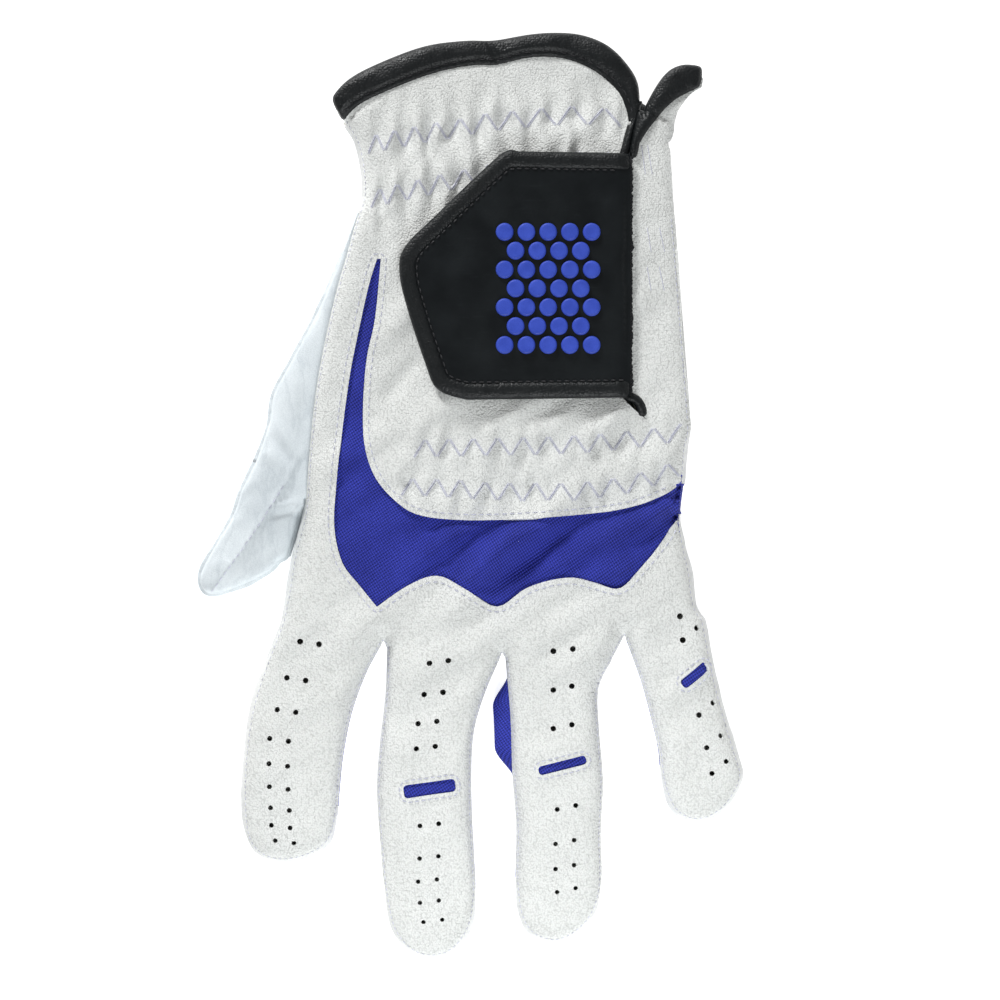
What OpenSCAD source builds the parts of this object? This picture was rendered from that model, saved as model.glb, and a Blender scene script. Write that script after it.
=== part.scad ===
// Left-hand golf glove lying palm down, cuff towards +Y, fingers towards -Y, thumb at -X.
// Origin: centre of the footprint, on the surface that the palm lies on.

/* [Leather] */
// Thickness of the glove leather
leather_t = 0.8; // [0.6:0.1:1]
// Thickness of the knit and of the elastic
knit_t = 0.6; // [0.4:0.1:0.8]
// Clearance between parts that move against each other
gap = 0.4; // [0.3:0.05:0.5]

/* [Heights] */
// Height of the hand part lying flat
hand_h = 12; // [11.5:0.5:14]
// Height of a finger lying flat
finger_h = 11; // [10:0.5:11.5]
// Height of the thumb lying flat
thumb_h = 9; // [8.5:0.5:10]

/* [Binding] */
// How far a binding stands above and below the leather it covers
binding_lip = 1; // [0.8:0.1:1.2]
// Width of the binding round the closure tab
tab_binding_w = 4.5; // [3.5:0.5:5.5]
// Width of the binding along the slit
slit_binding_w = 3; // [2:0.5:3.5]

/* [Stitching] */
// Width of a zigzag leg
zigzag_w = 1; // [0.6:0.1:1.2]
// Height of the zigzag rows
zigzag_depth = 4.6; // [3:0.2:5.6]
// Distance between zigzag points
zigzag_pitch = 6.4; // [5.6:0.2:8]
// Width of a line of topstitching
thread_w = 0.6; // [0.4:0.1:0.8]
// Distance of the topstitching from a leather edge
thread_inset = 1.6; // [1.2:0.1:2]

/* [Closure] */
// Diameter of a raised grip pad
pad_d = 4.6; // [3:0.2:5]
// Height of a raised grip pad
pad_h = 0.9; // [0.5:0.1:1.2]
// Number of rows of grip pads
pad_rows = 7; // [4:1:7]

/* [Ventilation] */
// Diameter of a perforation
hole_d = 1.2; // [1:0.1:1.6]

/* [Hidden] */

$fn = 48;

// Levels, from the resting surface up
back_z = hand_h - leather_t;
elastic_z = back_z - knit_t;
binding_z = back_z - binding_lip;
binding_h = leather_t + 2 * binding_lip;
thread_h = 0.35;
patch_h = 0.8;
loop_z = hand_h;
hook_z = loop_z + patch_h + gap;
lining_z = hook_z + patch_h;
panel_z = lining_z + knit_t;
panel_top = panel_z + leather_t;
tab_lip = 0.5;

// Short straight segments between two outline points
curve_steps = 5;

// Overlap that welds two sheets of one piece together
weld = 0.01;

// Larger than the glove, for cutting away one side of it
beyond = 300;

// Colours
back_white = [0.94, 0.94, 0.91];
palm_white = [0.93, 0.93, 0.92];
thumb_white = [0.9, 0.92, 0.93];
elastic_white = [0.9, 0.9, 0.9];
thread_white = [0.86, 0.86, 0.93];
knit_blue = [0.17, 0.17, 0.62];
pad_blue = [0.22, 0.27, 0.72];
trim_black = [0.08, 0.08, 0.09];
panel_black = [0.1, 0.1, 0.11];
lining_black = [0.14, 0.14, 0.15];

// --- Outlines, in millimetres, chosen by hand ---

// Cuff, from the thumb side to the slit: outer edge of the binding and its lower edge
cuff_outer = [[-36, 103], [-32, 107.5], [-25, 111.5], [-12, 116.5], [-1, 118], [6, 118], [15, 119.5],
  [22, 120], [29, 119.5], [36, 116.5], [41, 111.5], [43.5, 107], [44, 101]];
cuff_inner = [[-33, 97], [-29, 101], [-22, 104.5], [-9, 109.5], [1, 111.5], [7, 111.5], [14, 113.2],
  [21, 113.6], [27, 112.4], [33, 109.4], [38, 105], [40, 101], [41.2, 96]];

// Seam on the thumb side, from the cuff to the index finger
left_cuff = [[-33, 97], [-30, 92], [-28.5, 86], [-28, 79], [-29, 73.5]];
left_seam = [[-29, 73.5], [-31.5, 64], [-34.5, 53.5], [-37.5, 40.5], [-40, 26.5], [-41.5, 12], [-42.5, -0.5]];
left_index = [[-42.5, -0.5], [-44, -7.5], [-46, -15], [-47.3, -23], [-49, -32]];

// Little-finger side, from its base to the corner of the slit
right_hand = [[61, -31.8], [58.7, -28], [57.6, -20], [56, -12.5], [54.8, -5], [55.8, 4.5], [56.3, 13.5], [56, 20]];
right_corner = [55.9, 22];

// Base lines of the fingers: [outer end, inner end]
bases = [
  [[-49, -32], [-22.5, -37.4]],
  [[-21.5, -39.5], [8.3, -40.6]],
  [[9.2, -42], [37, -42]],
  [[40.2, -36], [61, -31.8]]
];

// Fingers, from the outer end of the base round the tip to its inner end
index_outline = [[-53, -42.5], [-57, -55], [-59, -70], [-59, -84], [-57.3, -90.5], [-53.5, -94], [-48, -95],
  [-41.5, -93.5], [-36.5, -90], [-34.6, -84], [-34, -77], [-33, -67.5], [-30.8, -56.5], [-27, -46]];
middle_outline = [[-22, -52], [-23.5, -65], [-24.2, -77], [-23.2, -92], [-22, -105], [-20.3, -112.5],
  [-16, -118], [-10, -120], [-4, -118], [0.3, -112], [1.5, -104], [1, -92], [0.4, -78], [0.8, -63], [3.6, -52]];
ring_outline = [[10.5, -57], [11, -72], [12, -86], [11.8, -101], [12.8, -109], [16, -114], [22, -116],
  [28, -113.5], [32.6, -108], [34.3, -100], [34, -88], [34.6, -74], [33.6, -61], [33.4, -50]];
little_outline = [[44.5, -48], [47.2, -58], [49, -66], [49.8, -74], [52, -80.5], [56, -84], [61, -84.3],
  [66, -81.5], [69.6, -76.5], [71, -72], [69.6, -67], [66.6, -57], [64, -47], [62.2, -38]];
finger_outlines = [index_outline, middle_outline, ring_outline, little_outline];

// Thumb: outer side of the web down to the crease, crease line, then the free thumb
web_outer = [[-29, 73.5], [-31.5, 67], [-35, 59.5], [-41.5, 46], [-48, 34], [-51.8, 26.5], [-53, 19], [-56.5, 9]];
thumb_base = [[-56.5, 9], [-43.6, 0.2]];
thumb_outline = [[-60, 2], [-62, -4], [-66, -11], [-70, -18], [-71, -22], [-69.5, -25.2], [-66, -26],
  [-60, -24], [-53, -20.6], [-49.4, -17], [-47.4, -11.5], [-45.8, -6]];
thumb_ridge = [[-67.5, -24], [-60, -14.5], [-55.5, -8], [-51.5, -3.5]];

// Knit insert: thumb-side edge, waved edge above the fingers, upper edge
insert_left = [[-24, 61.5], [-26, 55], [-28.5, 44], [-31, 31.5], [-33, 17], [-34.5, 3], [-35, -8], [-33, -17],
  [-29, -22.5], [-24, -28.5]];
insert_wave = [[-24, -28.5], [-16, -23], [-8.5, -20.5], [-1, -24], [7, -28.5], [15, -23.5], [25, -21],
  [33, -22.6], [39, -23.6], [45, -17.5], [51, -10], [54.3, -3.5]];
insert_top = [[55.4, 3], [47, -1], [38, -3.5], [25, -5], [9, -6], [-4, -6], [-14, -4.5], [-20.5, 0], [-25, 6],
  [-27.3, 14], [-27.6, 24], [-26.6, 36], [-24.5, 46], [-23, 61.5]];
insert_side = [[54, -4], [57, -4], [57, 3.6], [55, 2.8]];
insert_overlap = 2.5;

// Slit left edge, from the cuff to its lower end, and the wing to its right
slit_left = [[44, 102], [41, 92], [38.6, 80], [37.8, 60], [37.8, 32], [39.6, 25.5], [45.5, 20]];
slit_end = [46, 20];
slit_band_box = [[30, 18], [44.6, 99]];
wing_edge = [[41.9, 86], [43.5, 90.5], [47, 96], [52.7, 102.4], [59.8, 106]];
wing_tip = [[60.4, 111.4], [55, 111.8], [50.6, 109.4], [46.4, 103], [43, 95], [41.4, 86]];
wing_right = [[60, 106], [57, 104], [53.8, 99.5], [51.2, 93]];
wing_low = [[46, 20.6], [41.9, 27]];
wing_top = [60.4, 108];
wing_tip_used = [0, 1, 3, 4, 5];

// The line along which the wing folds: x falls slightly towards the cuff
fold_start = [53.2, 57];
fold_slope = 0.05;
fold_low_y = 40;
fold_high_y = 92;
function wing_fold(y, off = 0) = [fold_start[0] + off - fold_slope * (y - fold_start[1]), y];

// Closure tab, from the top of its sewn edge round the free end
tab_corner_top = [41.4, 88];
tab_corner_low = [41.4, 26];
tab_free = [[12, 88.5], [8, 87.6], [-8, 72.5], [-16.4, 64], [-17.6, 57.5], [-15.6, 48.5], [-11, 34.5], [-8, 28],
  [-1, 25.4]];

// Palm side of the cuff, from the little-finger side to the thumb side
palm_cuff = [[51.6, 97], [44, 101], [37, 107.5], [28, 112], [15, 113], [0, 111.5], [-14, 108], [-26, 103.5],
  [-33, 97]];
palm_binding_box = [[-31, 95], [48, 120]];

// Zigzag rows: centre lines from the thumb side to the slit side
cuff_row_high = [[-28, 89.5], [-12, 94], [6, 96.6], [24, 98.4], [39, 98.4]];
cuff_row_low = [[-27, 75.8], [-8, 80.8], [8, 84.3], [36, 87.5]];
knuckle_row_high = [[-14, 12.5], [8, 12.8], [24, 13.4], [40, 14.4], [54, 17.2]];
knuckle_row_low = [[-18, 2.6], [8, 1.4], [30, 1.4], [44, 3.8], [54.5, 7.4]];

// Elastics under the zigzag rows: width of each band, distance from the leather's edge
cuff_elastic_w = 9;
cuff_elastic_inset = 3.6;
knuckle_elastic_w = [8, 7];
knuckle_elastic_inset = 1.9;

// Perforations along each finger: centre of each pair and the spacing of the pair
pair_spacing = 4.9;
pair_turns = [-8, 7, 12, 40];
index_holes = [[-41.5, -37.9], [-45, -47.3], [-47.5, -55.5], [-49.4, -63], [-49.6, -69.5], [-49.5, -75.5],
  [-49.2, -81], [-49, -85.5], [-48, -89.5]];
middle_holes = [[-8, -42.8], [-9.4, -51], [-11, -58.5], [-11.4, -65], [-10.5, -85], [-10.6, -93.5],
  [-11, -99.5], [-10.5, -105], [-9.6, -110]];
ring_holes = [[24, -49.6], [24, -59.6], [25, -80.5], [24.6, -89.5], [24.6, -96], [25, -102]];
little_holes = [[57, -35.6], [61.2, -55], [63.2, -63.5], [64.6, -70.2]];
finger_holes = [index_holes, middle_holes, ring_holes, little_holes];
// Perforations just above the base lines, in the back leather
back_holes = [[21.6, -40], [26.6, -39.4], [54.4, -31]];

// Knuckle slots: [centre, length, width, turn in degrees]; the index finger has none
slots = [[], [[-10.4, -75.6], 13.6, 3.4, 8], [[24, -69.6], 12.8, 2.4, 14], [[58.4, -46.2], 8.6, 2.8, 38]];
slot_end_r = 1;
slot_thread_inset = 0.8;

// --- Curves ---

// One point of a smooth curve between b and c
function between(a, b, c, d, t) =
  0.5 * (2 * b + (c - a) * t + (2 * a - 5 * b + 4 * c - d) * t * t + (3 * b - a - 3 * c + d) * t * t * t);

// A smooth open curve through all of the points
function smooth(p) = [
  for (i = [0 : len(p) - 2], k = [0 : curve_steps - 1])
    between(p[max(i - 1, 0)], p[i], p[i + 1], p[min(i + 2, len(p) - 1)], k / curve_steps),
  p[len(p) - 1]
];

function reversed(p) = [for (i = [len(p) - 1 : -1 : 0]) p[i]];
function middle(p, q) = [for (i = [0 : len(p) - 1]) (p[i] + q[i]) / 2];
function unit(v) = v / norm(v);
function left_of(v) = [-v[1], v[0]];

// Direction in which a finger or the thumb points, square to its base line
function outward(base) = left_of(unit(base[0] - base[1]));
function shifted(base, d) = [for (p = base) p + outward(base) * d];

// The whole outline of a finger: starts and ends on its base line, a gap away from the hand
function digit(base, outline) =
  let (b = shifted(base, gap)) smooth(concat([b[0]], outline, [b[1]]));

// Point, direction and length along a smooth line
function lengths(p) = [for (i = [0 : len(p) - 2]) norm(p[i + 1] - p[i])];
function sum_to(v, n) = n <= 0 ? 0 : v[n - 1] + sum_to(v, n - 1);
function along(p, s, i = 0) =
  let (d = norm(p[i + 1] - p[i]))
  s <= d || i == len(p) - 2 ? p[i] + unit(p[i + 1] - p[i]) * s : along(p, s - d, i + 1);

// Corner points of a zigzag that follows a line
function zigzag(line, pitch, depth) =
  let (p = smooth(line), total = sum_to(lengths(p), len(p) - 1), n = 2 * floor(total / pitch))
  [for (i = [0 : n]) along(p, total * i / n) + [0, (i % 2 == 0 ? -1 : 1) * depth / 2]];

// --- Shared shapes ---

// A flat sheet of a 2D shape
module sheet(z, h) {
  translate([0, 0, z])
    linear_extrude(h)
      children();
}

// The rim of a 2D shape, between two distances inside its edge
module rim(from, to) {
  difference() {
    offset(delta = -from) children();
    offset(delta = -to) children();
  }
}

// A rectangle given by its lowest and highest corner
module box_of(corners) {
  translate(corners[0]) square(corners[1] - corners[0]);
}

// Everything to the right of x
module right_of(x) {
  translate([x, -beyond]) square([beyond, 2 * beyond]);
}

// A straight strip between two points
module leg(p, q, w) {
  side = left_of(unit(q - p)) * w / 2;
  tip = unit(q - p) * w / 4;
  polygon([p - tip - side, q + tip - side, q + tip + side, p - tip + side]);
}

// A strip along a list of points
module strip(points, w) {
  for (i = [0 : len(points) - 2]) leg(points[i], points[i + 1], w);
}

// A channel-shaped binding round the edge of a sheet: band over both faces, open where the sheet lies
module channel(z, h, sheet_z, sheet_h) {
  difference() {
    sheet(z, h) children(0);
    sheet(sheet_z, sheet_h) children(1);
  }
}

// --- Hand outlines ---

module cuff_band() {
  polygon(concat(smooth(cuff_outer), reversed(smooth(cuff_inner))));
}

module back_region() {
  polygon(concat(
    reversed(smooth(middle(cuff_outer, cuff_inner))),
    smooth(left_cuff),
    smooth(left_seam),
    smooth(left_index),
    [bases[0][1], bases[1][0], bases[1][1], bases[2][0], bases[2][1], bases[3][0]],
    smooth(right_hand),
    [slit_end, slit_left[len(slit_left) - 1]],
    reversed(smooth(slit_left))
  ));
}

module insert_region() {
  polygon(concat(smooth(insert_left), smooth(insert_wave), smooth(insert_top)));
}

// The cut-out runs over the little-finger side, so the knit reaches the edge there
module insert_opening() {
  union() {
    insert_region();
    polygon(insert_side);
  }
}

module palm_region() {
  polygon(concat(
    smooth(palm_cuff),
    smooth(left_cuff),
    smooth(web_outer),
    [thumb_base[1], [-42.5, -0.5]],
    smooth(left_index),
    [bases[0][1], bases[1][0], bases[1][1], bases[2][0], bases[2][1], bases[3][0]],
    smooth(right_hand),
    [right_corner, wing_fold(fold_low_y), wing_fold(fold_high_y)]
  ));
}

module web_region() {
  polygon(concat(smooth(web_outer), [thumb_base[1], [-42.5, -0.5]], reversed(smooth(left_seam))));
}

module slit_band() {
  intersection() {
    strip(smooth(slit_left), slit_binding_w);
    box_of(slit_band_box);
  }
}

// --- Hand ---

module back_leather() {
  color(back_white)
    sheet(back_z, leather_t)
      difference() {
        back_region();
        insert_opening();
        for (p = back_holes) translate(p) circle(d = hole_d);
      }
}

// Palm sheet with the side walls that rise to the back; the mouths of the thumb and fingers stay open
module palm_leather() {
  color(palm_white)
    union() {
      sheet(0, leather_t) palm_region();
      sheet(leather_t - weld, back_z - leather_t + weld) palm_walls();
    }
}

// Where the walls stand: beside the index finger, below the cuff and on the little-finger side
wall_boxes = [[[-60, -31], [-38, -8]], [[-40, 75], [-20, 97]], [[49, -31], [66, 91]]];

module palm_walls() {
  intersection() {
    rim(0, leather_t) palm_region();
    for (b = wall_boxes) box_of(b);
  }
}

module knit_insert() {
  color(knit_blue)
    sheet(elastic_z, knit_t)
      intersection() {
        offset(delta = insert_overlap) insert_opening();
        offset(delta = -leather_t) palm_region();
        offset(delta = -leather_t) back_region();
      }
}

module cuff_elastic() {
  color(elastic_white)
    sheet(elastic_z, knit_t)
      intersection() {
        union() {
          strip(smooth(cuff_row_high), cuff_elastic_w);
          strip(smooth(cuff_row_low), cuff_elastic_w);
        }
        offset(delta = -cuff_elastic_inset) back_region();
      }
}

module knuckle_elastic() {
  color(elastic_white)
    sheet(elastic_z, knit_t)
      difference() {
        intersection() {
          union() {
            strip(smooth(knuckle_row_high), knuckle_elastic_w[0]);
            strip(smooth(knuckle_row_low), knuckle_elastic_w[1]);
          }
          offset(delta = -knuckle_elastic_inset) back_region();
        }
        offset(delta = insert_overlap + wall_play) insert_opening();
      }
}

patch_r = 3;
patch_inset = 2.5;
loop_patch_box = [[-12, 34], [31, 78]];
hook_patch_box = [[-10, 36], [27, 75]];

module rounded(corners, r) {
  offset(r = r) offset(delta = -r) box_of(corners);
}

module loop_patch() {
  color(lining_black)
    sheet(loop_z, patch_h)
      intersection() {
        rounded(loop_patch_box, patch_r);
        offset(delta = -patch_inset) tab_region();
      }
}

module cuff_binding() {
  color(trim_black)
    channel(binding_z, binding_h, back_z, leather_t) {
      cuff_band();
      back_region();
    }
}

palm_binding_w = 4;
// Play between two sewn pieces that only touch
wall_play = 0.1;

module palm_cuff_binding() {
  color(trim_black)
    difference() {
      sheet(0, leather_t + binding_lip)
        intersection() {
          strip(smooth(palm_cuff), palm_binding_w);
          box_of(palm_binding_box);
        }
      sheet(-1, leather_t + 1) palm_region();
      sheet(0, hand_h) offset(delta = wall_play) palm_walls();
    }
}

module slit_binding() {
  color(trim_black)
    channel(binding_z, binding_h, back_z, leather_t) {
      difference() {
        slit_band();
        cuff_band();
        offset(delta = gap) wing_band();
      }
      back_region();
    }
}

web_z = thumb_h - leather_t;
web_wall_box = [[-60, 9.5], [-29, 75]];

module thumb_web() {
  color(thumb_white)
    union() {
      sheet(web_z, leather_t) web_region();
      sheet(leather_t, web_z - leather_t + weld)
        intersection() {
          rim(0, leather_t) palm_region();
          box_of(web_wall_box);
          offset(delta = 2 * wall_play) web_region();
        }
      sheet(thumb_h - weld, back_z - thumb_h + weld)
        intersection() {
          strip(smooth(left_seam), 2 * leather_t);
          web_region();
        }
    }
}

// Distance that every thread keeps from the leather's outer edge
thread_margin = 1;

module cuff_zigzag_thread() {
  color(thread_white)
    sheet(hand_h, thread_h)
      intersection() {
        union() {
          strip(zigzag(cuff_row_high, zigzag_pitch, zigzag_depth), zigzag_w);
          strip(zigzag(cuff_row_low, zigzag_pitch, zigzag_depth), zigzag_w);
        }
        offset(delta = -slit_binding_w) back_region();
      }
}

module knuckle_zigzag_thread() {
  color(thread_white)
    sheet(hand_h, thread_h)
      difference() {
        intersection() {
          union() {
            strip(zigzag(knuckle_row_high, zigzag_pitch, zigzag_depth), zigzag_w);
            strip(zigzag(knuckle_row_low, zigzag_pitch, zigzag_depth), zigzag_w);
          }
          offset(delta = -thread_margin) back_region();
        }
        offset(delta = thread_inset + 2 * thread_w) insert_opening();
      }
}

module insert_thread() {
  color(thread_white)
    sheet(hand_h, thread_h)
      intersection() {
        difference() {
          offset(delta = thread_inset + thread_w / 2) insert_opening();
          offset(delta = thread_inset - thread_w / 2) insert_opening();
        }
        offset(delta = -thread_margin) back_region();
      }
}

// --- Side wing ---

module wing_region() {
  polygon(concat(
    smooth(middle(wing_edge, reversed([for (i = wing_tip_used) wing_tip[i]]))),
    [wing_top],
    smooth(wing_right),
    [wing_fold(fold_high_y, -leather_t - gap), wing_fold(wing_low[0][1], -leather_t - gap)],
    wing_low
  ));
}

module wing_band() {
  polygon(concat(smooth(wing_edge), smooth(wing_tip)));
}

module wing_leather() {
  color(back_white)
    sheet(back_z, leather_t) wing_region();
}

module wing_binding() {
  color(trim_black)
    channel(binding_z, binding_h, back_z, leather_t) {
      wing_band();
      wing_region();
    }
}

wing_marks = [[[44.5, 92], [47, 84]], [[46, 70], [50, 64]], [[46, 60], [50, 54]]];

module wing_zigzag_thread() {
  color(thread_white)
    sheet(hand_h, thread_h)
      for (m = wing_marks) strip(zigzag(m, zigzag_pitch / 2, zigzag_depth / 2), zigzag_w / 2);
}

// --- Closure tab ---

module tab_region() {
  polygon(concat([tab_corner_top], smooth(tab_free), [tab_corner_low]));
}

module tab_panel() {
  color(panel_black)
    sheet(panel_z, leather_t) tab_region();
}

module tab_backing() {
  color(lining_black)
    sheet(lining_z, knit_t) tab_region();
}

// The binding stops here beside the sewn edge: x and distance from a corner
tab_binding_end = [30, 4];

module tab_binding() {
  color(trim_black)
    channel(lining_z - tab_lip, panel_top - lining_z + 2 * tab_lip, lining_z, panel_top - lining_z) {
      difference() {
        offset(delta = tab_lip) tab_region();
        offset(delta = tab_lip - tab_binding_w) tab_region();
        right_of(tab_corner_low[0]);
        intersection() {
          right_of(tab_binding_end[0]);
          box_of([[0, tab_corner_low[1] + tab_binding_end[1]], [beyond, tab_corner_top[1] - tab_binding_end[1]]]);
        }
      }
      tab_region();
    }
}

module tab_hook_patch() {
  color(panel_black)
    sheet(hook_z, patch_h)
      intersection() {
        rounded(hook_patch_box, patch_r);
        offset(delta = -tab_binding_w) tab_region();
      }
}

// Grip pads: centre of the first one, spacing and number in a row
pad_start = [9, 39];
pad_pitch = 5.6;
pads_per_row = 5;
stagger_turn = 60;

// Raised grip dots in a staggered field, each row shifted by half a pitch
module tab_grip_pads() {
  color(pad_blue)
    for (row = [0 : pad_rows - 1], i = [0 : pads_per_row - 1 - row % 2])
      translate([
        pad_start[0] + pad_pitch * (i + (row % 2) / 2),
        pad_start[1] + pad_pitch * row * sin(stagger_turn),
        panel_top
      ])
        cylinder(d = pad_d, h = pad_h);
}

// The thread keeps this distance from the binding, and stops at this x
tab_thread_inset = 0.5;
tab_thread_end = 34;

module tab_thread() {
  color(trim_black)
    sheet(panel_top, thread_h)
      difference() {
        offset(delta = tab_lip - tab_binding_w - tab_thread_inset) tab_region();
        offset(delta = tab_lip - tab_binding_w - tab_thread_inset - thread_w) tab_region();
        right_of(tab_thread_end);
      }
}

// --- Fingers ---

module digit_region(i) {
  polygon(digit(bases[i], finger_outlines[i]));
}

function base_middle(i) = (bases[i][0] + bases[i][1]) / 2;

// Length of the side strips along each finger, and a reach wider than any finger
strip_lengths = [44, 60, 56, 34];
side_reach = 22;

// One side of a finger from its base line to the end of its side strip: -1 is the thumb side
module finger_side(i, side) {
  d = outward(bases[i]);
  across = unit(bases[i][1] - bases[i][0]) * side;
  c = base_middle(i);
  far = c + across * side_reach;
  polygon([c, far, far + d * strip_lengths[i], c + d * strip_lengths[i]]);
}

module slot_shape(i, grow) {
  s = slots[i];
  translate(s[0])
    rotate(s[3])
      offset(r = slot_end_r)
        square([s[1] - 2 * slot_end_r + 2 * grow, s[2] - 2 * slot_end_r + 2 * grow], center = true);
}

module finger_back(i) {
  color(back_white)
    sheet(finger_h - leather_t, leather_t)
      difference() {
        digit_region(i);
        for (p = finger_holes[i], side = [-1, 1])
          translate(p)
            rotate(pair_turns[i])
              translate([side * pair_spacing / 2, 0])
                circle(d = hole_d);
        if (len(slots[i]) > 0) slot_shape(i, 0);
      }
}

// Front leather: palm-side sheet, tip wall and any side that has no knit strip
module finger_front(i, knit_sides) {
  color(palm_white)
    union() {
      sheet(0, leather_t) digit_region(i);
      sheet(leather_t - weld, finger_h - 2 * leather_t + weld)
        difference() {
          rim(0, leather_t) digit_region(i);
          for (side = knit_sides) finger_side(i, side);
          mouth(bases[i]);
        }
    }
}

// The open mouth of a finger or of the thumb: a band across its base line, a little wider than it
mouth_margin = 2;
mouth_depth = 2;

module mouth(base) {
  across = unit(base[1] - base[0]) * mouth_margin;
  b = shifted(base, -mouth_depth);
  m = shifted(base, gap + mouth_depth);
  polygon([b[0] - across, b[1] + across, m[1] + across, m[0] - across]);
}

module finger_knit(i, side) {
  color(knit_blue)
    sheet(leather_t, finger_h - 2 * leather_t)
      difference() {
        intersection() {
          rim(0, leather_t) digit_region(i);
          finger_side(i, side);
        }
        mouth(bases[i]);
      }
}

// How far a knuckle insert reaches under the leather round its slot
knuckle_overlap = 1.5;

module knuckle_insert(i) {
  color(knit_blue)
    sheet(finger_h - leather_t - knit_t, knit_t)
      intersection() {
        slot_shape(i, knuckle_overlap);
        offset(delta = -1.5 * leather_t) digit_region(i);
      }
}

module knuckle_thread(i) {
  color(thread_white)
    sheet(finger_h, thread_h)
      intersection() {
        difference() {
          slot_shape(i, slot_thread_inset + thread_w);
          slot_shape(i, slot_thread_inset);
        }
        offset(delta = -thread_w) digit_region(i);
      }
}

// --- Thumb ---

module thumb_region() {
  polygon(digit(thumb_base, thumb_outline));
}

module thumb_back() {
  color(thumb_white)
    sheet(web_z, leather_t) thumb_region();
}

module thumb_front() {
  color(thumb_white)
    union() {
      sheet(0, leather_t) thumb_region();
      sheet(leather_t - weld, web_z - leather_t + weld)
        difference() {
          rim(0, leather_t) thumb_region();
          mouth(thumb_base);
        }
    }
}

module thumb_seam_thread() {
  color(thread_white)
    sheet(thumb_h, thread_h)
      strip(smooth(thumb_ridge), thread_w);
}

back_leather();
palm_leather();
knit_insert();
cuff_elastic();
knuckle_elastic();
loop_patch();
cuff_binding();
palm_cuff_binding();
slit_binding();
thumb_web();
cuff_zigzag_thread();
knuckle_zigzag_thread();
insert_thread();
wing_leather();
wing_binding();
wing_zigzag_thread();
tab_panel();
tab_backing();
tab_binding();
tab_hook_patch();
tab_grip_pads();
tab_thread();
finger_back(0);  // index_back
finger_back(1);  // middle_back
finger_back(2);  // ring_back
finger_back(3);  // little_back
finger_front(0, [1]);  // index_front
finger_front(1, [-1, 1]);  // middle_front
finger_front(2, [-1, 1]);  // ring_front
finger_front(3, [-1]);  // little_front
finger_knit(0, 1);  // index_inner_knit
finger_knit(1, -1);  // middle_outer_knit
finger_knit(1, 1);  // middle_inner_knit
finger_knit(2, -1);  // ring_outer_knit
finger_knit(2, 1);  // ring_inner_knit
finger_knit(3, -1);  // little_outer_knit
knuckle_insert(1);  // middle_knuckle_insert
knuckle_insert(2);  // ring_knuckle_insert
knuckle_insert(3);  // little_knuckle_insert
knuckle_thread(1);  // middle_knuckle_thread
knuckle_thread(2);  // ring_knuckle_thread
knuckle_thread(3);  // little_knuckle_thread
thumb_back();
thumb_front();
thumb_seam_thread();
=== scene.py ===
"""Golf glove: white leather, blue knit and black trim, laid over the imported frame.

Every outline is read off the frame's flat panels. The leather becomes one soft height field, cut
into pieces where the glove bends, and everything sewn to it follows that surface. Lengths are in
millimetres until a mesh is made.
"""

import math

import bpy
import numpy as np
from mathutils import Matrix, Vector, bvhtree, geometry, kdtree, noise


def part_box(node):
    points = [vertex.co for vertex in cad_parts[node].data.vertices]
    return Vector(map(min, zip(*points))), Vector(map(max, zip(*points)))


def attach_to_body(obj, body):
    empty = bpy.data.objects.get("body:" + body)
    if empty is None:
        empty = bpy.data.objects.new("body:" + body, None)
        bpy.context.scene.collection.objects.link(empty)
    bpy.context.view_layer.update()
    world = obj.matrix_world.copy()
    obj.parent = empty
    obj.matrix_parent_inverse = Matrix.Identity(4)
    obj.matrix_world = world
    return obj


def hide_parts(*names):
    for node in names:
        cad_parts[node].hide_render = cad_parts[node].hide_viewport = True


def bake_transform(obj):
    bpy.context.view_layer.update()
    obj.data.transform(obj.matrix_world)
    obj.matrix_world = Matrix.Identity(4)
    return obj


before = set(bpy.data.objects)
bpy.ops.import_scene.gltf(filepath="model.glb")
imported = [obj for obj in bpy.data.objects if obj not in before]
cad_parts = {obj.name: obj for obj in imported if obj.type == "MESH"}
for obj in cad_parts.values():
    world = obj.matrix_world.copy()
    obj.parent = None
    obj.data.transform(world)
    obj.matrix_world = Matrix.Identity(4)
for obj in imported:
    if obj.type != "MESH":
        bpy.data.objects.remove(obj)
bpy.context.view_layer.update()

MM = 0.001
FINGERS = ["index", "middle", "ring", "little"]
rng = np.random.default_rng(11)


# --- Reading the frame ---


def corners(node):
    """A CAD node's vertices in millimetres."""
    return np.array([v.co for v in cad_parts[node].data.vertices]) / MM


def box(node):
    """A CAD node's lowest and highest corner in millimetres."""
    low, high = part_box(node)
    return np.array(low) / MM, np.array(high) / MM


def polygon_area(loop):
    x, y = loop[:, 0], loop[:, 1]
    return 0.5 * float(np.sum(x * np.roll(y, -1) - y * np.roll(x, -1)))


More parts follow.
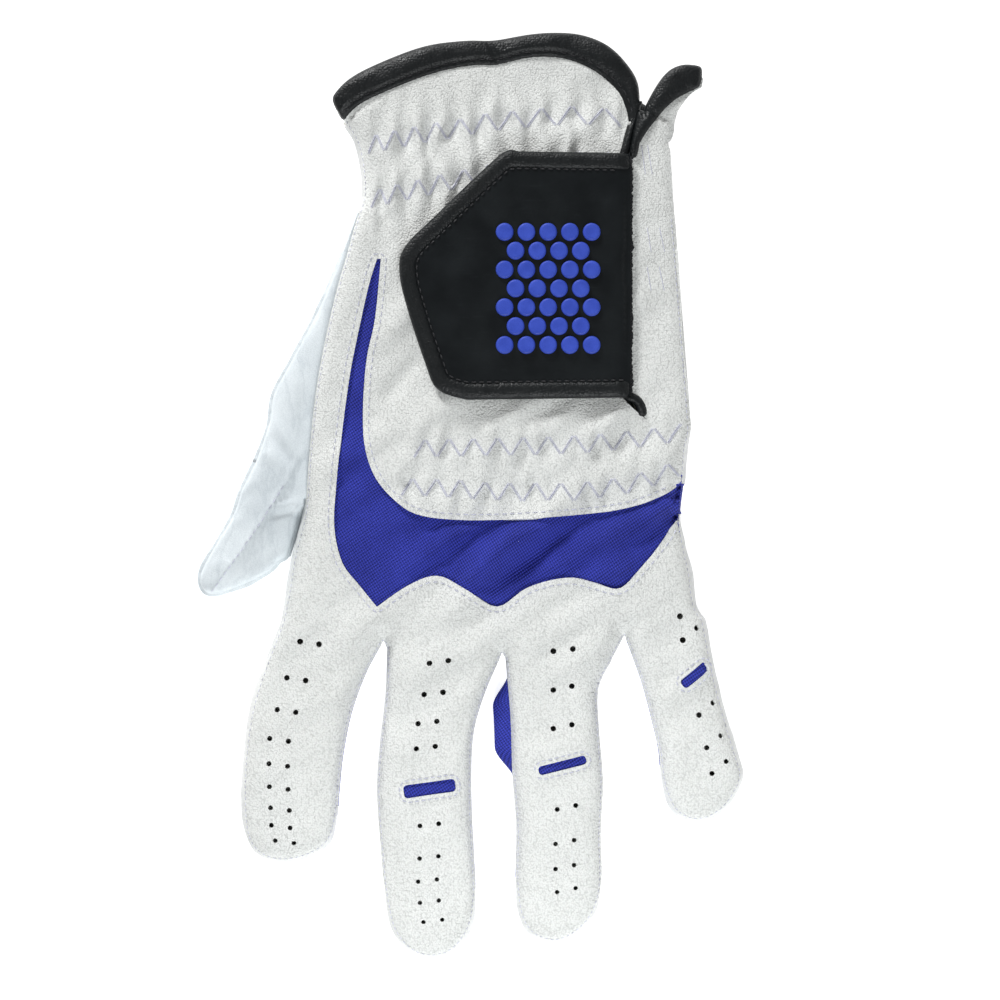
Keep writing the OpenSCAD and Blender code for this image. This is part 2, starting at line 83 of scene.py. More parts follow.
def outlines(node, low_side=False):
    """Closed outlines of a flat node's top or bottom face, the largest first, each anticlockwise."""
    co = corners(node)
    level = co[:, 2].min() if low_side else co[:, 2].max()
    flat = np.abs(co[:, 2] - level) < 0.01
    count = {}
    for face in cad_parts[node].data.polygons:
        if all(flat[v] for v in face.vertices):
            ring = [tuple(np.round(co[v, :2], 3)) for v in face.vertices]
            for a, b in zip(ring, ring[1:] + ring[:1]):
                key = (a, b) if a < b else (b, a)
                count[key] = count.get(key, 0) + 1
    links = {}
    for a, b in (key for key, n in count.items() if n == 1):
        links.setdefault(a, []).append(b)
        links.setdefault(b, []).append(a)
    found = []
    while links:
        start = next(iter(links))
        ring, here = [start], start
        while links.get(here):
            there = links[here].pop()
            links[there].remove(here)
            ring.append(there)
            here = there
        for point in ring:
            if not links.get(point):
                links.pop(point, None)
        ring = np.array(ring[:-1] if ring[0] == ring[-1] else ring)
        if len(ring) > 2:
            found.append(ring if polygon_area(ring) > 0 else ring[::-1])
    return sorted(found, key=lambda ring: -polygon_area(ring))


def base_edge(loop):
    """Index of a digit outline's longest edge, where it meets the hand."""
    return int(np.argmax(np.linalg.norm(np.roll(loop, -1, axis=0) - loop, axis=1)))


def spliced(loop, digit, edge=None):
    """The loop with one digit's outline let into the edge that it meets."""
    k = base_edge(digit) if edge is None else edge
    first, last = digit[(k + 1) % len(digit)], digit[k]
    walk = np.roll(digit, -(k + 1), axis=0)
    start = np.argmin(np.linalg.norm(loop - first, axis=1))
    end = np.argmin(np.linalg.norm(loop - last, axis=1))
    loop = np.roll(loop, -start, axis=0)
    end = (end - start) % len(loop)
    return np.concatenate([loop[:1], walk[1:-1], loop[end:]])


def resampled(loop, step, closed=True):
    """The same line with no segment longer than a step."""
    ends = np.roll(loop, -1, axis=0) if closed else loop[1:]
    made = []
    for a, b in zip(loop, ends):
        n = max(1, int(math.ceil(np.linalg.norm(b - a) / step)))
        made.extend(a + (b - a) * i / n for i in range(n))
    if not closed:
        made.append(loop[-1])
    return np.array(made)


def outline(node, step):
    """A node's outer outline with no segment longer than a step."""
    return resampled(outlines(node)[0], step)


def even(line, step):
    """Points at equal distances along an open line."""
    seg = np.linalg.norm(np.diff(line, axis=0), axis=1)
    s = np.concatenate([[0], np.cumsum(seg)])
    at = np.arange(max(2, int(s[-1] / step) + 1)) * step
    at = at[at <= s[-1]]
    return np.stack([np.interp(at, s, line[:, k]) for k in range(line.shape[1])], axis=1)


def inside(points, loop):
    """Which points lie inside a closed loop."""
    x, y = points[:, 0], points[:, 1]
    hit = np.zeros(len(points), bool)
    for (ax, ay), (bx, by) in zip(loop, np.roll(loop, -1, axis=0)):
        if ay == by:
            continue
        crosses = (ay > y) != (by > y)
        hit ^= crosses & (x < (bx - ax) * (y - ay) / (by - ay) + ax)
    return hit


class Edge:
    """A line of points that distances are measured to."""

    def __init__(self, points, closed=True):
        self.points, self.closed = points, closed
        self.tree = kdtree.KDTree(len(points))
        for i, p in enumerate(points):
            self.tree.insert((p[0], p[1], 0), i)
        self.tree.balance()

    def nearest(self, points):
        """Distance to the line and the index of its nearest point."""
        hits = [self.tree.find((p[0], p[1], 0)) for p in points]
        index = np.array([h[1] for h in hits], int)
        here = self.points[index]
        best = np.linalg.norm(points - here, axis=1)
        for turn in (-1, 1):
            if self.closed:
                other = self.points[(index + turn) % len(self.points)]
            else:
                other = self.points[np.clip(index + turn, 0, len(self.points) - 1)]
            d = other - here
            length = np.maximum((d * d).sum(1), 1e-9)
            t = np.clip(((points - here) * d).sum(1) / length, 0, 1)
            best = np.minimum(best, np.linalg.norm(points - here - d * t[:, None], axis=1))
        return best, index


def eased(ring):
    """A closed outline with each point drawn halfway to its neighbours' middle."""
    return (np.roll(ring, 1, axis=0) + 2 * ring + np.roll(ring, -1, axis=0)) / 4


def outward_normals(loop):
    """Unit normals of an anticlockwise loop, pointing out."""
    t = np.roll(loop, -1, axis=0) - np.roll(loop, 1, axis=0)
    t /= np.maximum(np.linalg.norm(t, axis=1), 1e-9)[:, None]
    return np.stack([t[:, 1], -t[:, 0]], axis=1)


def all_rims(node):
    """All the outlines of a node's top and bottom, to measure distances to."""
    loops = outlines(node) + outlines(node, low_side=True)
    return Edge(np.concatenate([resampled(loop, 1.0) for loop in loops]), closed=False)


def near(points, node, reach):
    """Which points lie within reach of a node's outlines, seen from above."""
    return all_rims(node).nearest(points)[0] < reach


# --- Small tools for shapes ---


def smoothstep(x):
    x = np.clip(x, 0, 1)
    return x * x * (3 - 2 * x)


def wander(points, size, seed):
    """Soft noise between about -1 and 1, with features of the given size."""
    return np.array([noise.noise(Vector((p[0] / size, p[1] / size, seed))) for p in points]) * 1.6


def round_over(t, power=2.0):
    """From 0 at the edge to 1 inside, as a rounded shoulder."""
    t = np.clip(t, 0, 1)
    return (1 - (1 - t) ** power) ** (1 / power)


def within(points, outers, holes):
    """Which points lie inside any of the outer loops and outside the holes."""
    keep = np.any([inside(points, loop) for loop in outers], axis=0)
    for loop in holes:
        keep &= ~inside(points, loop)
    return keep


def mesh_points(outers, step, grid_step=None, holes=()):
    """A triangle mesh of the space inside the outer loops and outside the holes."""
    grid_step = grid_step or step
    loops = [*outers, *holes]
    low = np.min([loop.min(0) for loop in outers], axis=0)
    high = np.max([loop.max(0) for loop in outers], axis=0)
    rows = np.arange(low[1], high[1], grid_step * 0.866)
    grid = []
    for k, y in enumerate(rows):
        xs = np.arange(low[0] + (k % 2) * grid_step / 2, high[0], grid_step)
        grid.append(np.stack([xs, np.full(len(xs), y)], axis=1))
    grid = np.concatenate(grid)
    grid = grid[within(grid, outers, holes)]
    rim = Edge(np.concatenate(loops), closed=False)
    grid = grid[rim.nearest(grid)[0] > grid_step * 0.55]
    points, edges = [], []
    for loop in loops:
        n0 = len(points)
        points.extend(map(tuple, loop))
        edges.extend((n0 + i, n0 + (i + 1) % len(loop)) for i in range(len(loop)))
    points.extend(map(tuple, grid))
    out = geometry.delaunay_2d_cdt([Vector(p) for p in points], edges, [], 1, 1e-5, False)
    co = np.array([v[:] for v in out[0]])
    tri = np.array([f for f in out[2] if len(f) == 3])
    return co, tri[within(co[tri].mean(1), outers, holes)]


def ground(co, tri):
    """A function that drops plan points onto a mesh, and returns them with their heights."""
    tree = bvhtree.BVHTree.FromPolygons([tuple(p) for p in co], [tuple(map(int, t)) for t in tri])

    def drop(points):
        hits = [tree.ray_cast((p[0], p[1], 60), (0, 0, -1))[0] for p in points]
        return np.array([(*p, hit.z if hit else np.nan) for p, hit in zip(points, hits)])

    return drop


def vertex_normals(co, faces):
    n = np.zeros_like(co)
    tri = np.array([f[:3] for f in faces])
    face_n = np.cross(co[tri[:, 1]] - co[tri[:, 0]], co[tri[:, 2]] - co[tri[:, 0]])
    for k in range(3):
        np.add.at(n, tri[:, k], face_n)
    return n / np.maximum(np.linalg.norm(n, axis=1), 1e-12)[:, None]


def rim_edges(tri):
    """Directed edges that only one triangle uses."""
    pairs = dict.fromkeys(map(tuple, np.concatenate([tri[:, [0, 1]], tri[:, [1, 2]], tri[:, [2, 0]]])))
    return [(a, b) for a, b in pairs if (b, a) not in pairs]


def make_piece(name, co, faces, material, flat=None, normals=None):
    """A mesh object from millimetre points, with the flat-pattern position kept for the materials."""
    mesh = bpy.data.meshes.new(name)
    mesh.from_pydata([tuple(p) for p in co * MM], [], [tuple(int(i) for i in f) for f in faces])
    mesh.update()
    flat = co if flat is None else flat
    attribute = mesh.attributes.new("flat", "FLOAT_VECTOR", "POINT")
    attribute.data.foreach_set("vector", np.asarray(flat, np.float32).ravel())
    mesh.shade_smooth()
    if normals is not None:
        mesh.normals_split_custom_set_from_vertices([tuple(n) for n in normals])
    obj = bpy.data.objects.new(name, mesh)
    bpy.context.scene.collection.objects.link(obj)
    mesh.materials.append(material)
    return obj


def skin(name, co, tri, material, thickness, normals, flat=None, inner=None):
    """A sheet with thickness: outer face, inner face and a crisp cut edge."""
    used, tri = np.unique(tri, return_inverse=True)
    tri = tri.reshape(-1, 3)
    co, normals = co[used], normals[used]
    flat = co if flat is None else flat[used]
    n = len(co)
    back = co - normals * thickness
    rims = np.array(rim_edges(tri))
    a, b = rims[:, 0], rims[:, 1]
    m = len(rims)
    edge_co = np.concatenate([co[a], co[b], back[b], back[a]])
    edge_faces = np.stack([np.arange(m) + 2 * n + k * m for k in (3, 2, 1, 0)], axis=1)
    side = np.cross(co[b] - co[a], normals[a])
    side /= np.maximum(np.linalg.norm(side, axis=1), 1e-9)[:, None]
    all_co = np.concatenate([co, back, edge_co])
    all_flat = np.concatenate([flat, flat, flat[a], flat[b], flat[b], flat[a]])
    all_n = np.concatenate([normals, -normals, side, side, side, side])
    faces = [tuple(t) for t in tri] + [tuple(t[::-1] + n) for t in tri] + [tuple(f) for f in edge_faces]
    obj = make_piece(name, all_co, faces, material, all_flat, all_n)
    if inner is not None:
        obj.data.materials.append(inner)
        index = np.zeros(len(faces), np.int32)
        index[len(tri) : 2 * len(tri)] = 1
        obj.data.polygons.foreach_set("material_index", index)
    return obj


# --- Outlines of the whole glove ---

STEP = 0.9
hand_top = box("back_leather")[1][2]
finger_top = box("index_back")[1][2]
thumb_top = box("thumb_back")[1][2]

back_outline = outlines("back_leather")[0]
for digit in FINGERS:
    back_outline = spliced(back_outline, outlines(f"{digit}_back")[0])


def wing_bottom_edge(loop):
    """The wing outline's edge that continues into the back leather: the lowest one."""
    mid = (loop + np.roll(loop, -1, axis=0)) / 2
    return int(np.argmin(mid[:, 1]))


wing_outline = outlines("wing_leather")[0]
back_outline = spliced(back_outline, wing_outline, wing_bottom_edge(wing_outline))
back_outline = resampled(back_outline, STEP)

palm_outline = outlines("palm_leather", low_side=True)[0]
for digit in FINGERS + ["thumb"]:
    palm_outline = spliced(palm_outline, outlines(f"{digit}_front", low_side=True)[0])
palm_outline = resampled(palm_outline, STEP)


# The thumb's inner side lies against the hand, with only a hair between them
THUMB_GAP, THUMB_CLOSE = 0.5, 3.2
thumb_loop = outlines("thumb_front", low_side=True)[0]
thumb_ends = np.roll(thumb_loop, -base_edge(thumb_loop), axis=0)[:2]
thumb_loop = resampled(thumb_loop, STEP)
to_thumb = Edge(thumb_loop).nearest(palm_outline)[0]
hand_side = Edge(palm_outline[(to_thumb > THUMB_GAP) & (palm_outline[:, 0] > thumb_loop[:, 0].mean())])


def closed_up(points):
    """Thumb outline points moved towards the hand wherever they already lie close to it."""
    d, index = hand_side.nearest(points)
    to_hand = hand_side.points[index] - points
    share = np.clip((d - THUMB_GAP) / np.maximum(d, 1e-6), 0, 1) * smoothstep(THUMB_CLOSE - d)
    return points + to_hand * share[:, None]


FOOT_REACH, FOOT_TURNS = 5.0, 14
foot = thumb_ends[thumb_ends[:, 0].argmax()]
of_thumb = (to_thumb < THUMB_GAP / 2) & (palm_outline[:, 1] < thumb_loop[:, 1].max() - 9)
palm_outline[of_thumb] = closed_up(palm_outline[of_thumb])
by_foot = (np.linalg.norm(palm_outline - foot, axis=1) < FOOT_REACH) & (palm_outline[:, 0] < foot[0] + 0.4)
for _ in range(FOOT_TURNS):
    palm_outline[by_foot] = eased(palm_outline)[by_foot]
digit_rims = {digit: resampled(outlines(f"{digit}_front", low_side=True)[0], 1.0) for digit in FINGERS}
digit_rims["thumb"] = closed_up(thumb_loop)


def digit_base(node):
    """Two ends of a digit's base line and the direction in which the digit points."""
    loop = outlines(node, low_side=True)[0]
    k = base_edge(loop)
    a, b = loop[k], loop[(k + 1) % len(loop)]
    across = (b - a) / np.linalg.norm(b - a)
    out = np.array([across[1], -across[0]])
    if (loop.mean(0) - a) @ out < 0:
        out = -out
    return a, b, out


bases = {digit: digit_base(f"{digit}_front") for digit in FINGERS + ["thumb"]}


def beyond(points, digit):
    """How far points lie past a digit's base line, and their share of its width, 0 to 1."""
    a, b, out = bases[digit]
    across = b - a
    return (points - a) @ out, ((points - a) @ across) / (across @ across)


def region_of(points, digits=FINGERS):
    """Which body each point of the glove belongs to, seen from above."""
    region = np.array(["hand"] * len(points), dtype=object)
    for digit in digits:
        past = beyond(points, digit)[0]
        rim = digit_rims[digit]
        mine = ((points > rim.min(0) - 1.5) & (points < rim.max(0) + 1.5)).all(1) & (past > 0)
        if not mine.any():
            continue
        reach = np.ones(mine.sum())
        if digit == "thumb":
            reach = np.minimum(reach, hand_side.nearest(points[mine])[0])
        mine[mine] = inside(points[mine], rim) | (Edge(rim).nearest(points[mine])[0] < reach)
        region[mine] = digit
    return region


# --- Height of the leather ---

# Height of a folded edge, and how far in its shoulder reaches
SIDE_EDGE, SIDE_ROUND = 6.6, 9.0
SEAM_EDGE, SEAM_ROUND = 9.6, 5.0
WING_EDGE, WING_ROUND = 11.0, 3.0
FINGER_ROUND = 7.5
EDGE_BLUR = 7
WEB_REACH, PALM_REACH = 1.2, 1.7
WING_START = box("slit_binding")[0][1] - 4

palm_edge = Edge(palm_outline)
from_web = near(back_outline, "thumb_web", WEB_REACH)
is_side = (palm_edge.nearest(back_outline)[0] < PALM_REACH) & ~from_web
is_side &= back_outline[:, 1] < box("cuff_binding")[0][1] + 1
by_wing = is_side & (back_outline[:, 0] > 0) & (back_outline[:, 1] > WING_START)


def blurred(values, reach=EDGE_BLUR):
    """Smooths values round a closed outline."""
    window = np.ones(2 * reach + 1) / (2 * reach + 1)
    values = np.asarray(values, float)
    for _ in range(2):
        values = np.convolve(np.concatenate([values[-reach:], values, values[:reach]]), window, "valid")
    return values


knit_nodes = [f"{digit}_{side}_knit" for digit in FINGERS for side in ("outer", "inner")]
knit_nodes = [node for node in knit_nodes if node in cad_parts]
KNIT_REACH = 1.0
CRISP_REACH = 5.0


def softness(points):
    """1 where a side strip may stand proud of the seam, 0 beside the knit strips and in the crotches."""
    beside = np.any([near(points, node, CRISP_REACH) for node in knit_nodes], axis=0)
    return blurred(~beside, 5)


levels = blurred(np.select([from_web, by_wing], [SEAM_EDGE, WING_EDGE], SIDE_EDGE))
rounds = blurred(np.select([from_web, by_wing], [SEAM_ROUND, WING_ROUND], SIDE_ROUND))
folded = is_side | from_web
folding = Edge(back_outline[folded], closed=False)
folding_level, folding_round = levels[folded], rounds[folded]
folding_normals = outward_normals(back_outline)[folded]
SEAM_PULL, WING_PUSH = 0.5, 1.15
seam_pull = SEAM_PULL * softness(back_outline) * blurred(~from_web, 3)
folding_pull = blurred(np.where(by_wing, -WING_PUSH, seam_pull), 2)[folded]


def row_centre(node, pick):
    """Centre line of one zigzag row as a curve y(x), with its two ends."""
    rings = sorted(outlines(node)[:2], key=lambda ring: -ring[:, 1].mean())
    ring = rings[pick]
    return np.polyfit(ring[:, 0], ring[:, 1], 3), ring[:, 0].min(), ring[:, 0].max()


ROWS = [row_centre(node, k) for node in ("cuff_zigzag_thread", "knuckle_zigzag_thread") for k in (0, 1)]
PITCH, DEPTH = 6.4, 5.0
CUFF_ROWS = 2
# How far a pucker reaches from its row, and how high it stands
CUFF_PUCKER, KNUCKLE_PUCKER = (6.5, 1.2), (5.0, 0.85)
ROW_FADE = 4
# How deep the thread of a row sinks into the leather, and how far to each side
ROW_DIP, DIP_REACH = 0.3, 2.4


def gathers(points):
    """Puckers that the elastic pulls into the leather along the zigzag rows."""
    z = np.zeros(len(points))
    for k, (curve, x0, x1) in enumerate(ROWS):
        off = points[:, 1] - np.polyval(curve, points[:, 0])
        along = (points[:, 0] - x0) / PITCH
        drift = wander(points, 8, 3.1 + k) * 0.22
        span = smoothstep((points[:, 0] - x0 + ROW_FADE) / 6) * smoothstep((x1 + ROW_FADE - points[:, 0]) / 6)
        reach, lift = CUFF_PUCKER if k < CUFF_ROWS else KNUCKLE_PUCKER
        lift = lift * (1 - 0.5 * smoothstep((points[:, 0] - x0) / (x1 - x0)))
        lift = lift * (1 + 0.5 * wander(points, 7, 6.1))
        pucker = np.cos(2 * np.pi * (along + drift)) * np.exp(-((off / reach) ** 2))
        dip = np.exp(-((off / DIP_REACH) ** 2))
        z += span * (lift * pucker - ROW_DIP * dip)
    return z


def fold(points, start, end, height, width):
    """A soft ridge or valley along a line."""
    a, b = np.array(start, float), np.array(end, float)
    d = b - a
    t = ((points - a) @ d) / (d @ d)
    off = np.linalg.norm(points - a - np.clip(t, 0, 1)[:, None] * d, axis=1)
    taper = smoothstep((t + 0.15) / 0.4) * smoothstep((1.15 - t) / 0.4)
    return height * taper * np.exp(-((off / width) ** 2))


def folds_of(node, points, table):
    """A table's folds together: start and end as shares of the node's box, height and half width."""
    return sum(fold(points, spot(node, *start), spot(node, *end), *size) for start, end, *size in table)


def spot(node, u, v):
    """A place on a node, as shares of its width and length."""
    low, high = box(node)
    return (low[0] + (high[0] - low[0]) * u, low[1] + (high[1] - low[1]) * v)


BACK_FOLDS = [
    ((0.30, 0.36), (0.44, 0.44), 1.7, 3.4),
    ((0.46, 0.36), (0.62, 0.43), 1.2, 2.7),
    ((0.58, 0.35), (0.72, 0.42), 1.5, 2.9),
    ((0.70, 0.35), (0.84, 0.42), 1.2, 2.5),
    ((0.22, 0.50), (0.36, 0.62), 1.7, 3.8),
    ((0.24, 0.42), (0.34, 0.50), -1.5, 2.7),
    ((0.42, 0.14), (0.68, 0.26), 2.0, 4.2),
    ((0.34, 0.16), (0.50, 0.24), -1.2, 3.4),
    ((0.56, 0.14), (0.80, 0.25), -1.5, 3.8),
    ((0.72, 0.13), (0.90, 0.24), 1.5, 3.4),
]
# Fall of the leather at the fingertips and the cuff, and how far round a finger's base line it settles
TIP_DROP, CUFF_DROP = 1.6, 1.0
BASE_REACH = 11.0
CUFF_FALL = 34
# Length and width of the ripples
RIPPLE, FINE_RIPPLE = (26, 7.5), (15, 3.6)


def wrinkles(points):
    """Long soft folds that run up towards the little finger, strongest over the knuckles."""
    turned = points @ np.array([[0.86, -0.51], [0.51, 0.86]])
    ripples = wander(turned / RIPPLE, 1, 4.2)
    fine = wander(turned / FINE_RIPPLE, 1, 9.2)
    y = points[:, 1]
    knuckles = smoothstep((y + 75) / 30) * smoothstep((34 - y) / 20)
    return (0.45 + 0.75 * knuckles) * ripples + (0.06 + 0.12 * knuckles) * fine


def back_height(points):
    """Height of the back leather's outer face at each point."""
    drop = np.zeros(len(points))
    for digit in FINGERS:
        past = beyond(points, digit)[0]
        low, high = box(f"{digit}_back")
        length = np.linalg.norm(high[:2] - low[:2])
        mine = (points[:, 0] > low[0] - 4) & (points[:, 0] < high[0] + 4) & (past > -BASE_REACH)
        down = smoothstep((past + BASE_REACH) / (2 * BASE_REACH)) * (hand_top - finger_top + 0.4)
        down += smoothstep((past - 0.45 * length) / (0.5 * length)) * TIP_DROP
        drop = np.where(mine, np.maximum(drop, down), drop)
    h = hand_top - drop
    cuff_y = box("back_leather")[1][1]
    h = h - CUFF_DROP * smoothstep((points[:, 1] - cuff_y + CUFF_FALL) / 30)
    d, index = folding.nearest(points)
    edge = np.minimum(folding_level[index], h - 0.5)
    reach = np.where(drop > 0.6, np.minimum(FINGER_ROUND, folding_round[index]), folding_round[index])
    z = edge + (h - edge) * round_over(d / reach, 2.2)
    calm = smoothstep(d / 6)
    soft = 0.35 * wander(points, 26, 0.3) + 0.2 * wander(points, 9, 5.7) + gathers(points) + wrinkles(points)
    return z + calm * (soft + folds_of("back_leather", points, BACK_FOLDS))


SHIFT_REACH = 4.0


def edge_shift(points):
    """Draws a seam in from its side strip, and carries the wing's edge out over the palm's."""
    d, index = folding.nearest(points)
    pull = folding_pull[index] * np.clip(1 - d / SHIFT_REACH, 0, 1) ** 2
    return points - folding_normals[index] * pull[:, None]


def on_back(points, lift=0.0):
    """Points of the back leather's outer face, raised by a lift."""
    return np.column_stack([edge_shift(points), back_height(points) + lift])


# --- Materials ---


class Surface:
    """A procedural material: short calls add nodes, and plain numbers go straight on the shader."""

    def __init__(self, name, **values):
        self.material = bpy.data.materials.new(name)
        self.material.use_nodes = True
        self.tree = self.material.node_tree
        self.shader = self.tree.nodes["Principled BSDF"]
        for socket, value in values.items():
            self.shader.inputs[socket.replace("_", " ")].default_value = value
        place = self.tree.nodes.new("ShaderNodeAttribute")
        place.attribute_name = "flat"
        self.place = place.outputs["Vector"]

    def node(self, kind, output=0, **inputs):
        """Adds a node; an input is a number, a colour or another node's output."""
        made = self.tree.nodes.new("ShaderNode" + kind)
        for name, value in inputs.items():
            if hasattr(made, name):
                setattr(made, name, value)
                continue
            key = int(name[1:]) if name[0] == "i" and name[1:].isdigit() else name.replace("_", " ")
            self.feed(made.inputs[key], value)
        return made.outputs[output]

    def feed(self, socket, value):
        if isinstance(value, bpy.types.NodeSocket):
            self.tree.links.new(value, socket)
        else:
            socket.default_value = value

    def math(self, operation, a, b=0.0, c=0.0):
        return self.node("Math", operation=operation, i0=a, i1=b, i2=c)

    def add(self, a, b):
        return self.math("ADD", a, b)

    def stretched(self, scale, turn=0.0):
        """The place on the pattern, turned about Z and scaled."""
        return self.node("Mapping", Vector=self.place, Rotation=(0, 0, math.radians(turn)), Scale=scale)

    def noise(self, scale, detail=2.0, place=None, roughness=0.5):
        place = place or self.place
        return self.node("TexNoise", Vector=place, Scale=scale, Detail=detail, Roughness=roughness)

    def cells(self, scale, smoothness=0.35):
        """Rounded cells: 0 in the middle of a cell, rising to its rim."""
        return self.node(
            "TexVoronoi", feature="SMOOTH_F1", Vector=self.place, Scale=scale, Smoothness=smoothness
        )

    def wave(self, scale, turn, distortion=0.0):
        """Straight ribs across a turned direction, scale in ribs per millimetre."""
        place = self.stretched((scale, scale, scale), turn)
        x = self.node("SeparateXYZ", Vector=place)
        bend = self.math("MULTIPLY", self.noise(0.6, 1.0), distortion)
        return self.math("SINE", self.math("MULTIPLY", self.add(x, bend), 2 * math.pi))

    def span(self, value, low, high, to_low=0.0, to_high=1.0):
        return self.node("MapRange", Value=value, i1=low, i2=high, i3=to_low, i4=to_high)

    def around(self, value, middle, half):
        """A noise spread evenly about a middle value."""
        return self.span(value, 0.3, 0.7, middle - half, middle + half)

    def finish(self, tone, start, end, roughness, height, depth):
        """Links a tone between two colours, a roughness, and a height of a depth in millimetres."""
        colour = self.node("Mix", 2, data_type="RGBA", i0=tone, i6=(*start, 1), i7=(*end, 1))
        self.feed(self.shader.inputs["Base Color"], colour)
        self.feed(self.shader.inputs["Roughness"], roughness)
        bump = self.node("Bump", Height=height, Strength=1.0, Distance=depth * MM)
        self.feed(self.shader.inputs["Normal"], bump)
        return self.material


def grained_leather(name, light, dark, grain, depth, rough, crevice_shade_weight=0.5, **values):
    """Leather with pebble grain of the given size in millimetres, fine pores and soft stains; the crevices
    between the pebbles are painted darker as shade.
    """
    s = Surface(name, **values)
    drift = s.node("TexNoise", 1, Vector=s.place, Scale=0.8)
    drift = s.node("VectorMath", operation="SCALE", i0=drift, Scale=grain * 0.5)
    warped = s.node("VectorMath", operation="ADD", i0=s.place, i1=drift)
    pebbles = s.node("TexVoronoi", feature="F1", Vector=warped, Scale=1 / grain, Randomness=0.85)
    fine, broad, worn = s.noise(2.2 / grain, 2.0), s.noise(0.06, 3.0), s.noise(0.35, 3.0)
    height = s.math("SUBTRACT", s.math("MULTIPLY", fine, 0.12), s.math("POWER", pebbles, 2.0))
    # Painted shade: the colour runs towards the dark tone in the crevices between the pebbles; the broad and
    # worn tones are random stains.
    crevice_shade_mask = s.span(pebbles, 0.38, 0.75)
    tone = s.math("MULTIPLY_ADD", crevice_shade_mask, crevice_shade_weight, s.span(broad, 0.35, 0.75, 0.0, 0.12))
    tone = s.add(tone, s.span(worn, 0.4, 0.8, 0.0, 0.08))
    return s.finish(tone, light, dark, s.around(worn, rough + 0.005, 0.075), height, depth)


def smooth_leather(name, light, dark, rough, **values):
    """Fine-grained leather: soft creases running across the skin over very small pores, with painted shade in
    the creases and round the pores.
    """
    s = Surface(name, **values)
    creases = s.noise(1.0, 4.0, s.stretched((0.16, 0.05, 0.16), 32), 0.55)
    ridged = s.math("ABSOLUTE", s.math("SUBTRACT", creases, 0.5))
    pores, broad = s.cells(3.2), s.noise(0.05, 3.0)
    height = s.math("MULTIPLY_ADD", ridged, 2.2, s.math("MULTIPLY", pores, -0.16))
    # Painted shade: darker along the creases' valleys and at the sunken rims of the pore cells; the broad
    # tone varies at random.
    tone = s.add(s.span(ridged, 0.05, 0.0, 0.0, 0.3), s.span(broad, 0.35, 0.7, 0.0, 0.5))
    tone = s.add(tone, s.span(pores, 0.3, 0.7, 0.0, 0.25))
    return s.finish(tone, light, dark, s.around(creases, rough, 0.08), height, 0.35)


def knit_fabric(name, light, dark, **values):
    """Stretch knit: fine ribs on the diagonal, broken up by the crossing rows of loops, with painted shade in
    the grooves between them.
    """
    s = Surface(name, **values)
    ribs, loops = s.wave(1.35, 56, 0.12), s.wave(1.55, -30, 0.12)
    weave = s.math("MULTIPLY_ADD", ribs, 0.5, s.math("MULTIPLY", loops, 0.5))
    fuzz, broad = s.noise(5.0, 3.0), s.noise(0.09, 2.0)
    # Painted shade: the weave's sunken parts take the dark colour and its raised parts the light; the fuzz
    # and broad tones vary at random.
    tone = s.add(s.span(weave, -0.9, 0.9, 0.0, 0.75), s.span(broad, 0.3, 0.7, 0.0, 0.2))
    tone = s.add(tone, s.span(fuzz, 0.3, 0.8, -0.1, 0.15))
    return s.finish(tone, dark, light, s.around(fuzz, 0.72, 0.1), weave, 0.2)


def woven(name, light, dark, pitch, depth=0.12, **values):
    """Plain weave of the given pitch in millimetres, with painted shade where the threads sink."""
    s = Surface(name, **values)
    weave = s.math("MULTIPLY", s.wave(1 / pitch, 0, 0.08), s.wave(1 / pitch, 90, 0.08))
    fuzz = s.noise(3.0, 3.0)
    # Painted shade: the sunken parts of the weave take the dark colour; the fuzz tone varies at random.
    tone = s.add(s.span(weave, -1, 1, 0.0, 0.8), s.span(fuzz, 0.3, 0.7, 0.0, 0.3))
    return s.finish(tone, dark, light, s.around(fuzz, 0.8, 0.1), weave, depth)


def pile(name, light, dark, grain, depth, **values):
    """Matted fibres of the given size in millimetres, painted darker where they lie low, as shade."""
    s = Surface(name, **values)
    hairs = s.noise(1 / grain, 5.0, s.stretched((1, 2.6, 1), 25), 0.7)
    height = s.add(hairs, s.math("MULTIPLY", s.cells(0.8 / grain, 0.1), 0.6))
    # Painted shade: the colour follows the height, dark in the low fibres and light on the raised ones.
    return s.finish(s.span(height, 0.4, 1.1), dark, light, s.around(hairs, 0.85, 0.1), height, depth)


def coated(name, light, dark, rough, **values):
    """Smooth coated leather: faint orange peel, hairline scuffs and dust."""
    s = Surface(name, **values)
    scuffs = s.noise(1.0, 4.0, s.stretched((0.12, 2.4, 1), 14), 0.7)
    marks, dust = s.span(scuffs, 0.62, 0.72), s.noise(0.12, 4.0)
    tone = s.add(s.math("MULTIPLY", marks, 0.5), s.span(dust, 0.35, 0.75, 0.0, 0.6))
    worn = s.span(dust, 0.3, 0.7, rough - 0.06, rough + 0.08)
    roughness = s.add(worn, s.math("MULTIPLY", marks, 0.12))
    return s.finish(tone, dark, light, roughness, s.noise(1.6, 2.0), 0.05)


def thread_fibre(name, light, dark, **values):
    """Sewing thread: fine plies with painted shade between them, and a slightly uneven colour."""
    s = Surface(name, **values)
    plies, fuzz = s.wave(3.4, 38, 0.3), s.noise(2.5, 2.0)
    # Painted shade: the plies' sunken parts take the dark colour; the fuzz tone varies at random.
    tone = s.add(s.span(plies, -1, 1, 0.0, 0.6), s.span(fuzz, 0.3, 0.7, 0.0, 0.4))
    return s.finish(tone, dark, light, s.around(fuzz, 0.55, 0.1), plies, 0.06)


